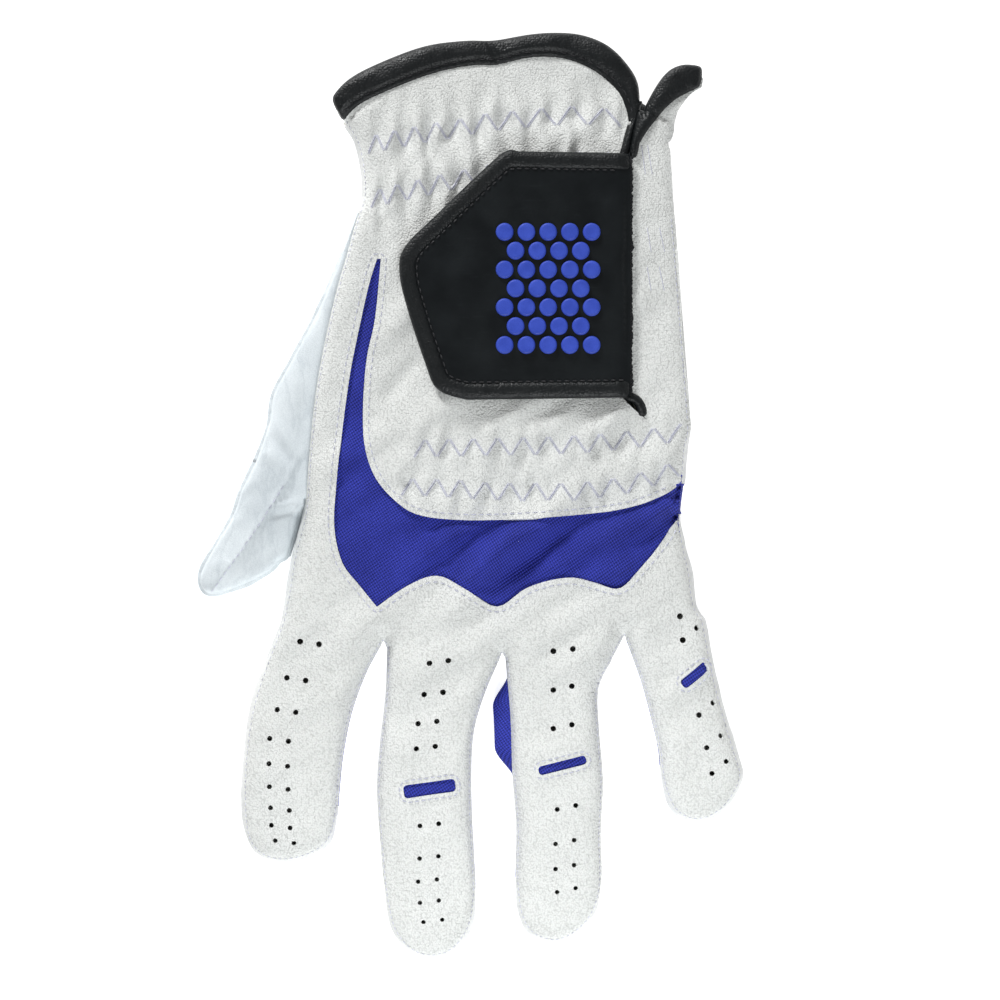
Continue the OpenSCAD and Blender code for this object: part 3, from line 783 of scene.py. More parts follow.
def rubber(name, light, dark, **values):
    """Moulded soft rubber with a fine matt texture, painted darker in its dips as shade."""
    s = Surface(name, **values)
    fine, broad = s.noise(4.5, 3.0), s.noise(0.3, 2.0)
    # Painted shade: the fine texture's dips are darker; the broad tone varies at random.
    tone = s.add(s.span(fine, 0.3, 0.7, 0.0, 0.4), s.span(broad, 0.3, 0.7, 0.0, 0.6))
    return s.finish(tone, dark, light, s.around(broad, 0.45, 0.07), fine, 0.04)


# The dark colour of the grained, smooth and pile leathers, the knit and woven cloths, the threads and the
# rubber is partly painted shade for the sunken parts of each texture.
back_leather = grained_leather(
    "pebbled_white_leather", (0.90, 0.915, 0.895), (0.50, 0.51, 0.49),
    grain=0.50, depth=0.24, rough=0.5, crevice_shade_weight=0.36, Specular_IOR_Level=0.35,
)
binding_leather = grained_leather(
    "black_binding_leather", (0.008, 0.010, 0.011), (0.002, 0.003, 0.004),
    grain=0.6, depth=0.12, rough=0.44, Specular_IOR_Level=0.35,
)
palm_leather = smooth_leather("smooth_white_leather", (0.87, 0.88, 0.87), (0.70, 0.71, 0.71), rough=0.5)
thumb_leather = smooth_leather("cool_white_leather", (0.84, 0.90, 0.93), (0.58, 0.64, 0.68), rough=0.48)
flesh_side = pile("leather_flesh_side", (0.74, 0.73, 0.70), (0.52, 0.51, 0.49), grain=0.5, depth=0.1)
blue_knit = knit_fabric(
    "blue_knit", (0.066, 0.088, 0.70), (0.006, 0.009, 0.11), Specular_IOR_Level=0.2, Sheen_Weight=0.03
)
elastic_cloth = woven("white_elastic", (0.84, 0.84, 0.84), (0.62, 0.62, 0.62), pitch=0.9)
loop_cloth = pile("black_loop_pile", (0.05, 0.05, 0.055), (0.008, 0.008, 0.01), grain=0.35, depth=0.4)
hook_cloth = woven("black_hook_tape", (0.045, 0.045, 0.05), (0.01, 0.01, 0.012), pitch=1.1, depth=0.4)
lining_cloth = woven("black_lining", (0.04, 0.04, 0.045), (0.012, 0.012, 0.014), pitch=0.7)
panel_leather = coated(
    "black_coated_leather", (0.0085, 0.0120, 0.0140), (0.0035, 0.0052, 0.0064),
    rough=0.38, Specular_IOR_Level=0.28,
)
pad_rubber = rubber("blue_rubber", (0.055, 0.105, 0.62), (0.035, 0.070, 0.46), Specular_IOR_Level=0.3)
pale_thread = thread_fibre("pale_thread", (0.80, 0.81, 0.90), (0.64, 0.65, 0.80))
black_thread = thread_fibre("black_thread", (0.035, 0.035, 0.04), (0.008, 0.008, 0.01))


# --- Joining pieces to the bodies ---

SKIN = 0.7
KNIT_THICK, INSERT_THICK, BAND_THICK = 0.5, 0.4, 0.4
PILE_THICK, HOOK_THICK, LINING_THICK, FRAY_THICK = 0.7, 0.9, 0.5, 0.3


def attach(obj, body):
    """Rides on the hand's or the closure tab's body; any other piece stays where it was made, its transform
    baked in.
    """
    if body in ("hand", "closure_tab"):
        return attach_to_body(obj, body)
    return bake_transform(obj)


def finished(obj, body, slot, *nodes):
    """Attaches a piece and hides the CAD nodes that it stands for; the slot is not used."""
    attach(obj, body)
    if nodes:
        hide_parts(*nodes)
    return obj


def flat_panel(node, step):
    """A flat mesh over a node's outer outline, and that outline to measure distances to."""
    loop = outline(node, step)
    return *mesh_points([loop], step), Edge(loop)


def sheet(name, co, tri, look, thickness, body, slot, *nodes):
    """A skin that is one whole piece, attached and named."""
    return finished(skin(name, co, tri, look, thickness, vertex_normals(co, tri)), body, slot, *nodes)


# --- Back leather ---

HOLE_POINTS = 12
SLOT_WIDTH = 2
# The perforations widen from the fingertips to the knuckles
HOLE_STRETCH = (0.95, 1.35)
perforated = ["back_leather"] + [f"{digit}_back" for digit in FINGERS]
openings = [loop for node in perforated for loop in outlines(node)[1:]]
holes = [loop[:: max(1, len(loop) // HOLE_POINTS)] for loop in openings if np.ptp(loop[:, 0]) < SLOT_WIDTH]
hole_y = np.array([loop[:, 1].mean() for loop in holes])
stretch = np.interp(hole_y, (hole_y.min(), hole_y.max()), HOLE_STRETCH)
holes = [loop.mean(0) + (loop - loop.mean(0)) * k for loop, k in zip(holes, stretch)]
slots = [resampled(loop, STEP) for loop in openings if np.ptp(loop[:, 0]) >= SLOT_WIDTH]

back_flat, back_tri = mesh_points([back_outline], STEP, holes=holes + slots)
back_co = on_back(back_flat)
back_normals = vertex_normals(back_co, back_tri)
on_leather = ground(back_co, back_tri)
middles = back_flat[back_tri].mean(1)
back_region = region_of(middles)
back_region[inside(middles, wing_outline)] = "side_wing"

for body in sorted(set(back_region)):
    node = {"hand": "back_leather", "side_wing": "wing_leather"}.get(body, f"{body}_back")
    tri = back_tri[back_region == body]
    obj = skin(f"{node}_skin", back_co, tri, back_leather, SKIN, back_normals, inner=flesh_side)
    finished(obj, body, "back_leather", node)


# --- Palm leather ---

PALM_EDGE, PALM_ROUND = 3.0, 7.0
PALM_STEP = 1.5
MOUTH_LEFT, MOUTH_RIGHT = box("palm_cuff_binding")[0][1], box("tab_panel")[1][1] + 1

mouth = palm_outline[:, 1] > np.where(palm_outline[:, 0] > 0, MOUTH_RIGHT, MOUTH_LEFT)
palm_sides = Edge(palm_outline[~mouth], closed=False)
mouth_edge = Edge(palm_outline[mouth], closed=False)


def palm_height(points):
    """Height of the palm's outer face above the surface that it lies on."""
    rise = PALM_EDGE * (1 - round_over(palm_sides.nearest(points)[0] / PALM_ROUND))
    soft = 0.25 * np.clip(wander(points, 18, 2.2) + 0.2, 0, 1)
    lift = 0.5 * smoothstep(1 - mouth_edge.nearest(points)[0] / 7)
    return rise + soft + lift


palm_flat, palm_tri = mesh_points([palm_outline], STEP, PALM_STEP)
palm_co = np.column_stack([palm_flat, palm_height(palm_flat)])
palm_tri = palm_tri[:, ::-1]
palm_normals = vertex_normals(palm_co, palm_tri)
palm_region = region_of(palm_flat[palm_tri].mean(1), FINGERS + ["thumb"])
for body in sorted(set(palm_region)):
    node = "palm_leather" if body == "hand" else f"{body}_front"
    look, slot = (thumb_leather, "thumb_leather") if body == "thumb" else (palm_leather, "palm_leather")
    tri = palm_tri[palm_region == body]
    obj = skin(f"{node}_skin", palm_co, tri, look, SKIN, palm_normals, inner=flesh_side)
    finished(obj, body, slot, node)


# --- Thumb and the web that joins it to the hand ---

THUMB_EDGE, THUMB_ROUND = 4.4, 8.5
WEB_TUCK = 2.6
WEB_TOP = 8.7
THUMB_STEP = 0.65

web_points = corners("thumb_web")[:, :2]
web_head, web_foot = web_points[web_points[:, 1].argmax()], web_points[web_points[:, 1].argmin()]
first = np.linalg.norm(palm_outline - web_head, axis=1).argmin()
last = np.linalg.norm(palm_outline - web_foot, axis=1).argmin()
thumb_line = np.roll(palm_outline, -first, axis=0)[: (last - first) % len(palm_outline) + 1]
on_thumb_side = np.zeros(len(palm_outline), bool)
on_thumb_side[(first + np.arange(len(thumb_line))) % len(palm_outline)] = True
thumb_rim = Edge(thumb_line, closed=False)
seam_order = np.argsort(-back_outline[from_web][:, 1])
seam_line = back_outline[from_web][seam_order]
seam_normals = outward_normals(back_outline)[from_web][seam_order]
seam = Edge(seam_line, closed=False)

# The thumb's centre seam, from its tip to the web: shares of the thumb's box
RIDGE = ((0.14, 0.03), (0.40, 0.31), (0.62, 0.56), (0.86, 0.86), (1.02, 1.09))
ridge_line = resampled(np.array([spot("thumb_back", *share) for share in RIDGE]), 0.6, closed=False)
ridge_edge = Edge(ridge_line, closed=False)

THUMB_FOLDS = [
    ((0.70, 0.66), (1.06, 0.72), 0.7, 1.1),
    ((0.72, 0.60), (1.04, 0.66), -0.5, 1.2),
    ((0.30, 0.78), (0.56, 0.90), 0.7, 1.8),
    ((0.28, 0.68), (0.52, 0.78), -0.6, 1.6),
    ((0.22, 0.52), (0.44, 0.60), 0.5, 1.5),
    ((0.66, 1.42), (0.98, 1.02), 0.7, 1.3),
    ((0.56, 1.36), (0.90, 0.98), -0.6, 1.5),
    ((0.50, 1.20), (0.74, 1.00), 0.5, 1.6),
    ((0.10, 0.30), (0.34, 0.44), -0.5, 2.4),
    ((0.84, 2.30), (0.96, 1.60), 0.5, 1.6),
    ((0.72, 1.95), (0.62, 1.35), 0.6, 1.5),
    ((0.82, 1.98), (0.74, 1.40), -0.6, 1.4),
    ((0.92, 1.70), (0.98, 1.16), 0.5, 1.2),
    ((0.36, 0.98), (0.52, 1.22), -0.7, 1.5),
    ((0.44, 0.94), (0.66, 1.10), 0.6, 1.2),
    ((0.18, 0.20), (0.30, 0.28), 0.4, 1.6),
    ((0.52, 0.30), (0.84, 0.46), -0.4, 2.6),
]


def thumb_height(points):
    """Height of the outer face of the thumb's back and of the web."""
    d = thumb_rim.nearest(points)[0]
    z = THUMB_EDGE + (thumb_top - 0.4 - THUMB_EDGE) * round_over(d / THUMB_ROUND)
    calm = smoothstep(d / 3.5)
    z = z + calm * (0.3 * wander(points, 11, 8.1) + 0.1 * wander(points, 4, 6.6))
    off = ridge_edge.nearest(points)[0]
    ridge = 0.45 * np.exp(-((off / 3.0) ** 2)) + 0.6 * np.exp(-((off / 0.75) ** 2))
    z = z + calm * (folds_of("thumb_back", points, THUMB_FOLDS) + ridge)
    close = smoothstep(1 - seam.nearest(points)[0] / 5)
    return z + (WEB_TOP - z) * close


THUMB_PULL, THUMB_REACH = 0.7, 3.0


def thumb_shift(points):
    """Moves points near the thumb's edge inward, as edge_shift does for the back."""
    d, index = thumb_rim.nearest(points)
    normal = outward_normals(palm_outline)[(first + index) % len(palm_outline)]
    pull = THUMB_PULL * np.clip(1 - d / THUMB_REACH, 0, 1) ** 2 * smoothstep(seam.nearest(points)[0] / 4)
    return points - normal * pull[:, None]


tucked = seam_line - seam_normals * WEB_TUCK
web_loop = np.concatenate([thumb_line, tucked[::-1][2:-2]])
thumb_flat, thumb_tri = mesh_points([web_loop], THUMB_STEP)
thumb_co = np.column_stack([thumb_shift(thumb_flat), thumb_height(thumb_flat)])
thumb_normals = vertex_normals(thumb_co, thumb_tri)
thumb_region = region_of(thumb_flat[thumb_tri].mean(1), ["thumb"])
for body, node in (("hand", "thumb_web"), ("thumb", "thumb_back")):
    tri = thumb_tri[thumb_region == body]
    obj = skin(f"{node}_skin", thumb_co, tri, thumb_leather, SKIN, thumb_normals, inner=flesh_side)
    finished(obj, body, "thumb_leather", node)


# --- Sides: strips between the palm's edge and the back's ---

SIDE_ROWS = 8
SIDE_BULGE, KNIT_BULGE, PUFF_BULGE = 0.5, -0.5, 5.0
SEAM_GAP = 0.35
NOTCH_TUCK = 2.4

palm_out = outward_normals(palm_outline)
back_edge = Edge(back_outline)
gap_to_back, nearest_back = back_edge.nearest(palm_outline)
apart = gap_to_back > SEAM_GAP
in_notch = apart & (palm_outline[:, 0] > 0) & (palm_outline[:, 1] < WING_START) & ~on_thumb_side
top_flat = np.where(apart[:, None], back_outline[nearest_back], palm_outline)
top_flat[in_notch] = (palm_outline - palm_out * NOTCH_TUCK)[in_notch]
tops = on_back(top_flat)
tops[in_notch, 2] -= SKIN
tops[on_thumb_side, :2] = thumb_shift(palm_outline[on_thumb_side])
tops[on_thumb_side, 2] = thumb_height(palm_outline[on_thumb_side])
feet = np.column_stack([palm_outline, palm_height(palm_outline)])

soft = softness(palm_outline)
bulge = soft * (SIDE_BULGE + 0.25 * wander(palm_outline, 6, 4.4)) + (1 - soft) * KNIT_BULGE
# The one knit strip that bellies out beside its finger
low, high = box("ring_outer_knit")
puff = smoothstep((high[1] - 1 - palm_outline[:, 1]) / 9) * smoothstep((palm_outline[:, 1] - low[1] - 24) / 9)
bulge += PUFF_BULGE * puff * near(palm_outline, "ring_outer_knit", KNIT_REACH)
bulge = np.where(palm_outline[:, 1] > WING_START + 6, np.minimum(bulge, SIDE_BULGE), bulge)

share = np.linspace(0, 1, SIDE_ROWS)[None, :, None]
side_co = feet[:, None] * (1 - share) + tops[:, None] * share
side_co[..., :2] += palm_out[:, None] * bulge[:, None, None] * np.sin(np.pi * share)
# The strip laid out flat: along the outline, and up from the palm
side_flat = np.zeros_like(side_co)
side_flat[1:, :, 0] = np.cumsum(np.linalg.norm(np.diff(palm_outline, axis=0), axis=1))[:, None]
side_flat[:, 1:, 1] = np.cumsum(np.linalg.norm(np.diff(side_co, axis=1), axis=2), axis=1)
side_tri = []
for i in range(len(palm_outline)):
    j = (i + 1) % len(palm_outline)
    for k in range(SIDE_ROWS - 1):
        a, b = i * SIDE_ROWS + k, j * SIDE_ROWS + k
        side_tri.extend([(a, b, b + 1), (a, b + 1, a + 1)])
side_tri = np.array(side_tri)
side_owner = side_tri[:, 0] // SIDE_ROWS
side_co, side_flat = side_co.reshape(-1, 3), side_flat.reshape(-1, 3)
side_normals = vertex_normals(side_co, side_tri)

halfway = (palm_outline + np.roll(palm_outline, -1, axis=0)) / 2
side_body = region_of(halfway, FINGERS + ["thumb"])
side_kind = np.where(on_thumb_side & np.roll(on_thumb_side, -1), "thumb_side", "side").astype(object)
side_kind[in_notch | np.roll(in_notch, -1)] = "knit_side"
for node in knit_nodes:
    mine = near(halfway, node, KNIT_REACH) & (side_body == node.split("_")[0])
    side_kind[mine] = node
side_kind[(side_body == "hand") & (halfway[:, 0] > 0) & (halfway[:, 1] > WING_START + 6)] = "wing_side"
side_kind[mouth & np.roll(mouth, -1)] = "open"

SIDE_LOOKS = {
    "side": (palm_leather, "palm_leather"),
    "wing_side": (back_leather, "palm_leather"),
    "thumb_side": (thumb_leather, "thumb_leather"),
}
for body in sorted(set(side_body)):
    for kind in sorted(set(side_kind[side_body == body])):
        if kind == "open":
            continue
        look, slot = SIDE_LOOKS.get(kind, (blue_knit, "blue_knit"))
        tri = side_tri[((side_body == body) & (side_kind == kind))[side_owner]]
        name = kind + "_strip" if kind in knit_nodes else f"{body}_{kind}"
        obj = skin(name, side_co, tri, look, SKIN - 0.1, side_normals, side_flat)
        finished(obj, body, slot, *([kind] if kind in knit_nodes else []))


# --- Knit insert and the small knuckle inserts ---

KNIT_FOLD = 1.4
INSERT_STEP, INSERT_MARGIN, INSERT_CROWN = 0.7, 1.2, 0.45


def knit_height(points):
    """Height of the knit's outer face: under the leather, and softly folded where it shows."""
    shown = ~inside(points, back_outline)
    d = np.where(shown, back_edge.nearest(points)[0], 0)
    low = box("knit_insert")[0]
    across = -(points[:, 0] - low[0]) * 0.53 + (points[:, 1] - low[1]) * 0.85
    along = (points[:, 0] - low[0]) * 0.85 + (points[:, 1] - low[1]) * 0.53
    shelf = 0.25 + 0.75 * smoothstep((points[:, 0] - low[0] - 12) / 22)
    folds = np.sin(across * 0.55 + 0.9 * np.sin(along * 0.07) + 0.6) + 0.5 * wander(points, 9, 1.7)
    proud = smoothstep(d / 4) * smoothstep(palm_edge.nearest(points)[0] / 7)
    return back_height(points) - SKIN - 0.12 + proud * (0.5 + KNIT_FOLD * folds * shelf)


flat, tri, _ = flat_panel("knit_insert", STEP)
co = np.column_stack([flat, knit_height(flat)])
sheet("knit_insert_cloth", co, tri, blue_knit, KNIT_THICK, "hand", "blue_knit", "knit_insert")

for digit in FINGERS[1:]:
    node = f"{digit}_knuckle_insert"
    flat, tri, rim = flat_panel(node, INSERT_STEP)
    crown = smoothstep((rim.nearest(flat)[0] - INSERT_MARGIN) / INSERT_MARGIN)
    co = on_back(flat, INSERT_CROWN * crown - SKIN - 0.1)
    sheet(f"{node}_cloth", co, tri, blue_knit, INSERT_THICK, digit, "blue_knit", node)


# --- Elastics under the leather and the closure's loop patch ---

ELASTIC_STEP = 1.8
LEAST_BAND = 20
for node in ("cuff_elastic", "knuckle_elastic"):
    loops = [resampled(loop, ELASTIC_STEP) for loop in outlines(node)[:2] if polygon_area(loop) > LEAST_BAND]
    meshes = [mesh_points([loop], ELASTIC_STEP) for loop in loops]
    starts = np.cumsum([0] + [len(flat) for flat, _ in meshes])
    tri = np.concatenate([part + start for (_, part), start in zip(meshes, starts)])
    co = on_back(np.concatenate([flat for flat, _ in meshes]), -SKIN - 0.6)
    sheet(f"{node}_band", co, tri, elastic_cloth, BAND_THICK, "hand", "elastic", node)

PATCH_STEP = 1.2
PILE_FOOT, PILE_RISE, PILE_ROUND = 0.25, 0.5, 1.6
flat, tri, rim = flat_panel("loop_patch", PATCH_STEP)
co = on_back(flat, PILE_FOOT + PILE_RISE * round_over(rim.nearest(flat)[0] / PILE_ROUND))
sheet("loop_patch_pile", co, tri, loop_cloth, PILE_THICK, "hand", "loop_pile", "loop_patch")


# --- Bindings: rolled leather over an edge ---

RIM_STEP = 0.5
BAND_STEP = 0.6


def softened(loop, turns):
    """The same outline with its corners rounded, more with each turn."""
    ring = resampled(loop, RIM_STEP)
    for _ in range(turns):
        ring = eased(ring)
    return ring


def ribbon(line, half_width):
    """The outline of a band along a line, with rounded ends."""
    line = resampled(np.array(line, float), RIM_STEP, closed=False)
    along = np.gradient(line, axis=0)
    along /= np.linalg.norm(along, axis=1)[:, None]
    side = np.stack([along[:, 1], -along[:, 0]], axis=1) * half_width
    return softened(np.concatenate([line + side, (line - side)[::-1]]), 6)


def roll(name, loops, middle_height, half, step=RIM_STEP, grooves=()):
    """A closed pillow over flat outlines, standing equally far above and below its middle."""
    loops = [resampled(loop, step) for loop in loops]
    flat, tri = mesh_points(loops, step)
    free = []
    for k, loop in enumerate(loops):
        others = loops[:k] + loops[k + 1 :]
        free.append(loop[~within(loop, others, [])] if others else loop)
    d = Edge(np.concatenate(free), closed=False).nearest(flat)[0]
    body = round_over(d / d.max())
    middle = middle_height(flat)
    rough = 0.09 * wander(flat, 6.5, 7.7) + 0.05 * wander(flat, 2.2, 3.3)
    up = half * body * (1 + rough)
    for line, depth, width in grooves:
        up = up - depth * np.exp(-((line.nearest(flat)[0] / width) ** 2)) * body
    on_rim = d < 1e-4
    top = np.column_stack([flat, middle + np.where(on_rim, 0, up)])
    low = np.column_stack([flat, middle - np.where(on_rim, 0, half * body)])
    index = np.arange(len(flat)) + np.where(on_rim, 0, len(flat))
    co = np.concatenate([top, low])
    faces = np.concatenate([tri, index[tri][:, ::-1]])
    used, faces = np.unique(faces, return_inverse=True)
    return make_piece(name, co[used], faces.reshape(-1, 3), binding_leather), (flat, top[:, 2])


def back_middle(offset):
    """A height for a binding round the back leather's edge."""
    return lambda points: back_height(points) - SKIN / 2 + offset


BINDING_HALF, WING_BINDING_HALF, PALM_BINDING_HALF, TAB_BINDING_HALF = 1.55, 1.9, 0.95, 1.15
GROOVE = 1.5
CORNER_TURNS = 14

cuff_loop = outlines("cuff_binding")[0]
cuff_inner_rim = resampled(cuff_loop, BAND_STEP)
is_inner = inside(cuff_inner_rim, back_outline) & (back_edge.nearest(cuff_inner_rim)[0] > GROOVE)


def set_in(line, loop, distance):
    """A line shifted square to itself into the loop, by a distance."""
    ring = resampled(loop, BAND_STEP)
    index = Edge(ring).nearest(line)[1]
    shifted = line - outward_normals(ring)[index] * distance
    keep = Edge(line, closed=False).nearest(shifted)[0] > distance * 0.9
    return shifted[keep & inside(shifted, loop)]


FRAY_STEP = 0.22


def raw_edge(x, low_y, high_y):
    """The frayed edge of a sheet: a thin strip whose outer side is jagged."""
    y = np.arange(low_y, high_y, FRAY_STEP)
    jag = 0.35 + 0.4 * np.abs(wander(np.column_stack([y * 0, y]), 0.9, 2.5)) + rng.uniform(0, 0.25, len(y))
    plan = np.concatenate([np.column_stack([x - 1.0 + 0 * y, y]), np.column_stack([x + jag, y])])
    n = len(y)
    tri = [(i, i + n, i + n + 1) for i in range(n - 1)] + [(i, i + n + 1, i + 1) for i in range(n - 1)]
    return plan, np.array(tri)


cuff_groove = set_in(cuff_inner_rim[is_inner], cuff_loop, GROOVE)
# Where the binding's two ends are joined, as shares of its box
JOIN = np.array([spot("cuff_binding", *share) for share in ((0.505, 0.92), (0.54, 0.72))])
# The slit's binding runs up under the end of the cuff's, and its lower end hangs free as a short tail
TAIL = np.array([(-7.4, 12.0), (-6.6, 8.6), (-3.6, 7.2), (-1.3, 6.2), (-0.1, 4.2), (0.2, 1.8)])
TAIL_HALF = 1.3
slit_low, slit_high = box("slit_binding")
slit_loop = outline("slit_binding", RIM_STEP)
slit_loop = slit_loop + np.outer(smoothstep((slit_loop[:, 1] - slit_high[1] + 3) / 3), (0.8, 3.4))
slit_loop = slit_loop[slit_loop[:, 1] > slit_low[1] + TAIL[1, 1]]
tail_line = np.array([slit_high[0], slit_low[1]]) + TAIL
cuff_parts = [softened(cuff_loop, CORNER_TURNS), softened(slit_loop, 4), ribbon(tail_line, TAIL_HALF)]
join_line = resampled(JOIN, 0.4, closed=False)
grooves = [(Edge(cuff_groove, closed=False), 0.55, 0.55), (Edge(join_line, closed=False), 0.5, 0.8)]
obj, cuff_top = roll("cuff_binding_roll", cuff_parts, back_middle(0.1), BINDING_HALF, grooves=grooves)
finished(obj, "hand", "black_binding", "cuff_binding", "slit_binding")

# The wing's binding closes over the slit's, as far down as the tab
wing_root = ribbon([spot("wing_binding", 0.16, 0.54), spot("wing_binding", 0.03, 0.06)], 1.2)
wing_parts = [softened(outlines("wing_binding")[0], CORNER_TURNS), wing_root]
obj, _ = roll("wing_binding_roll", wing_parts, back_middle(0.3), WING_BINDING_HALF)
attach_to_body(obj, "side_wing")
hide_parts("wing_binding")


def palm_middle(points):
    return np.full(len(points), PALM_BINDING_HALF)


loops = outlines("palm_cuff_binding")[:1]
obj, _ = roll("palm_cuff_binding_roll", loops, palm_middle, PALM_BINDING_HALF, 0.7)
finished(obj, "hand", "black_binding", "palm_cuff_binding")


# --- Closure tab ---

PANEL_CROWN = 0.7
PANEL_THICK = 0.7
panel_low, panel_high = box("tab_panel")
tab_loop = outline("tab_panel", 0.8)
sewn_x = panel_high[0]
free_edge = Edge(tab_loop[tab_loop[:, 0] < sewn_x - 0.1], closed=False)


def panel_height(points):
    """Height of the tab's face: gently crowned, pressed down along the sewn edge."""
    d = free_edge.nearest(points)[0]
    crown = PANEL_CROWN * smoothstep(d / 20) + 0.18 * wander(points, 22, 9.4)
    sewn = 0.9 * np.exp(-(((sewn_x - points[:, 0]) / 2.2) ** 2))
    return panel_low[2] + PANEL_THICK - 0.1 + crown - sewn


flat, tri = mesh_points([tab_loop], 1.0)
co = np.column_stack([flat, panel_height(flat)])
sheet("tab_panel_face", co, tri, panel_leather, PANEL_THICK, "closure_tab", "tab_panel", "tab_panel")

co = np.column_stack([flat, panel_height(flat) - PANEL_THICK - 0.05])
sheet("tab_lining_cloth", co, tri, lining_cloth, LINING_THICK, "closure_tab", "tab_lining", "tab_backing")


def tab_middle(points):
    return panel_height(points) - 0.4


band_loop = outlines("tab_binding")[0]
band_ring = resampled(band_loop, BAND_STEP)
inner_part = inside(band_ring, tab_loop) & (free_edge.nearest(band_ring)[0] > 2)
obj, _ = roll("tab_binding_roll", [softened(band_loop, 4)], tab_middle, TAB_BINDING_HALF)
finished(obj, "closure_tab", "black_binding", "tab_binding")

# The tab's sewn edge is raw: its fibres lie on the wing
plan, tri = raw_edge(sewn_x, panel_low[1], panel_high[1])
co = np.column_stack([plan, back_height(plan) + 0.35])
sheet("tab_raw_edge", co, tri, lining_cloth, FRAY_THICK, "side_wing", "tab_lining")

flat, tri, _ = flat_panel("tab_hook_patch", PATCH_STEP)
co = np.column_stack([flat, np.full(len(flat), box("tab_hook_patch")[1][2] + 0.3)])
sheet("tab_hook_tape", co, tri, hook_cloth, HOOK_THICK, "closure_tab", "hook_tape", "tab_hook_patch")


PAD_SIDES = 28
# A pad's outline from its foot to its face: shares of its radius and height
PAD_PROFILE = [(1.0, -0.3), (1.0, 0.35), (0.965, 0.72), (0.88, 0.93), (0.76, 1.0), (0.5, 0.94), (0.25, 0.91)]


def domes(name, centres, radius, height, base, material):
    """Round pads with a rolled edge and a slightly dished face, as one mesh."""
    sides = PAD_SIDES
    co, faces = [], []
    angle = np.linspace(0, 2 * np.pi, sides, endpoint=False)
    turn = np.column_stack([np.cos(angle), np.sin(angle)]) * radius
    for (x, y), z in zip(centres, base):
        start = len(co)
        for r, h in PAD_PROFILE:
            co.extend((x + r * dx, y + r * dy, z + height * h) for dx, dy in turn)
        co.append((x, y, z + height * 0.9))
        last = len(co) - 1 - sides
        for i in range(sides):
            j = (i + 1) % sides
            rings = range(start, last, sides)
            faces.extend((a + i, a + j, a + sides + j, a + sides + i) for a in rings)
            faces.append((last + i, last + j, len(co) - 1))
        faces.append(tuple(start + i for i in reversed(range(sides))))
    return make_piece(name, np.array(co), faces, material)


pads = outlines("tab_grip_pads")
centres = np.array([loop.mean(0) for loop in pads])
radius = np.ptp(pads[0][:, 0]) / 2
pad_height = box("tab_grip_pads")[1][2] - panel_high[2]
obj = domes("tab_grip_pads_soft", centres, radius, pad_height, panel_height(centres), pad_rubber)
finished(obj, "closure_tab", "grip_pads", "tab_grip_pads")


# --- Threads ---

THREAD, TAB_THREAD, THUMB_THREAD = 0.16, 0.22, 0.13
TUBE_SIDES = 6


def thread_mesh(name, paths, radius, material):
    """Short stitches as one mesh; each path is a row of points with rounded, closed ends."""
    co, faces, turns = [], [], np.linspace(0, 2 * np.pi, TUBE_SIDES, endpoint=False)
    for path in paths:
        path = np.asarray(path)
        tangent = np.gradient(path, axis=0)
        tangent /= np.maximum(np.linalg.norm(tangent, axis=1), 1e-9)[:, None]
        side = np.cross((0, 0, 1), tangent)
        side /= np.maximum(np.linalg.norm(side, axis=1), 1e-9)[:, None]
        up = np.cross(tangent, side)
        size = np.ones(len(path))
        size[[0, -1]] = 0.45
        start = len(co)
        for p, s, u, r in zip(path, side, up, size * radius):
            co.extend(p + r * (math.cos(t) * s + math.sin(t) * u) for t in turns)
        for k in range(len(path) - 1):
            for i in range(TUBE_SIDES):
                j = (i + 1) % TUBE_SIDES
                a = start + k * TUBE_SIDES
                faces.append((a + i, a + TUBE_SIDES + i, a + TUBE_SIDES + j, a + j))
        faces.append(tuple(start + i for i in range(TUBE_SIDES)))
        end = start + (len(path) - 1) * TUBE_SIDES
        faces.append(tuple(end + i for i in reversed(range(TUBE_SIDES))))
    return make_piece(name, np.array(co), faces, material)


STITCH_POINTS, LEG_POINTS = 5, 11
STITCH_LIFT, STITCH_DIVE = 0.10, -0.12
LONGEST_STEP = 2.0
TWIN_GAP = 0.36
ROW_END = 1.6
# Distance from stitch to stitch, and the share of it that shows as thread
SEAM_PITCH, SLOT_PITCH, THUMB_PITCH, TOPSTITCH_PITCH, TAB_PITCH, CUFF_PITCH = 1.5, 1.7, 1.9, 2.0, 2.0, 2.4
SEAM_SHARE, TRIM_SHARE, LONG_SHARE = 0.66, 0.7, 0.74


def sew(name, stitch_set, surface, lift, radius, body, *nodes, slot="pale_thread"):
    """Lays stitches on a surface as one piece of thread."""
    material = black_thread if slot == "black_thread" else pale_thread
    obj = thread_mesh(name, laid(stitch_set, surface, lift), radius, material)
    finished(obj, body, slot, *nodes)


def stitches(line, pitch, share):
    """Stitches laid end to end along a line: an array of (stitch, point, xy)."""
    marks = even(line, pitch)
    a, step = marks[:-1], np.diff(marks, axis=0)
    t = np.linspace(0, share, STITCH_POINTS)
    return a[:, None] + step[:, None] * t[None, :, None]


def on_skin(points):
    """Points on the back leather's own triangles."""
    spots = on_leather(edge_shift(points))
    missed = np.isnan(spots[:, 2])
    spots[missed, 2] = back_height(points[missed])
    return spots


def runs(points):
    """Splits a row of points wherever it jumps, and drops the shortest parts."""
    jumps = np.flatnonzero(np.linalg.norm(np.diff(points, axis=0), axis=1) > LONGEST_STEP) + 1
    return [run for run in np.split(points, jumps) if len(run) > 3]


def sewn_along(points, pitch, share, fewest=4):
    """Stitches along each run of a row of points."""
    return np.concatenate([stitches(run, pitch, share) for run in runs(points) if len(run) >= fewest])


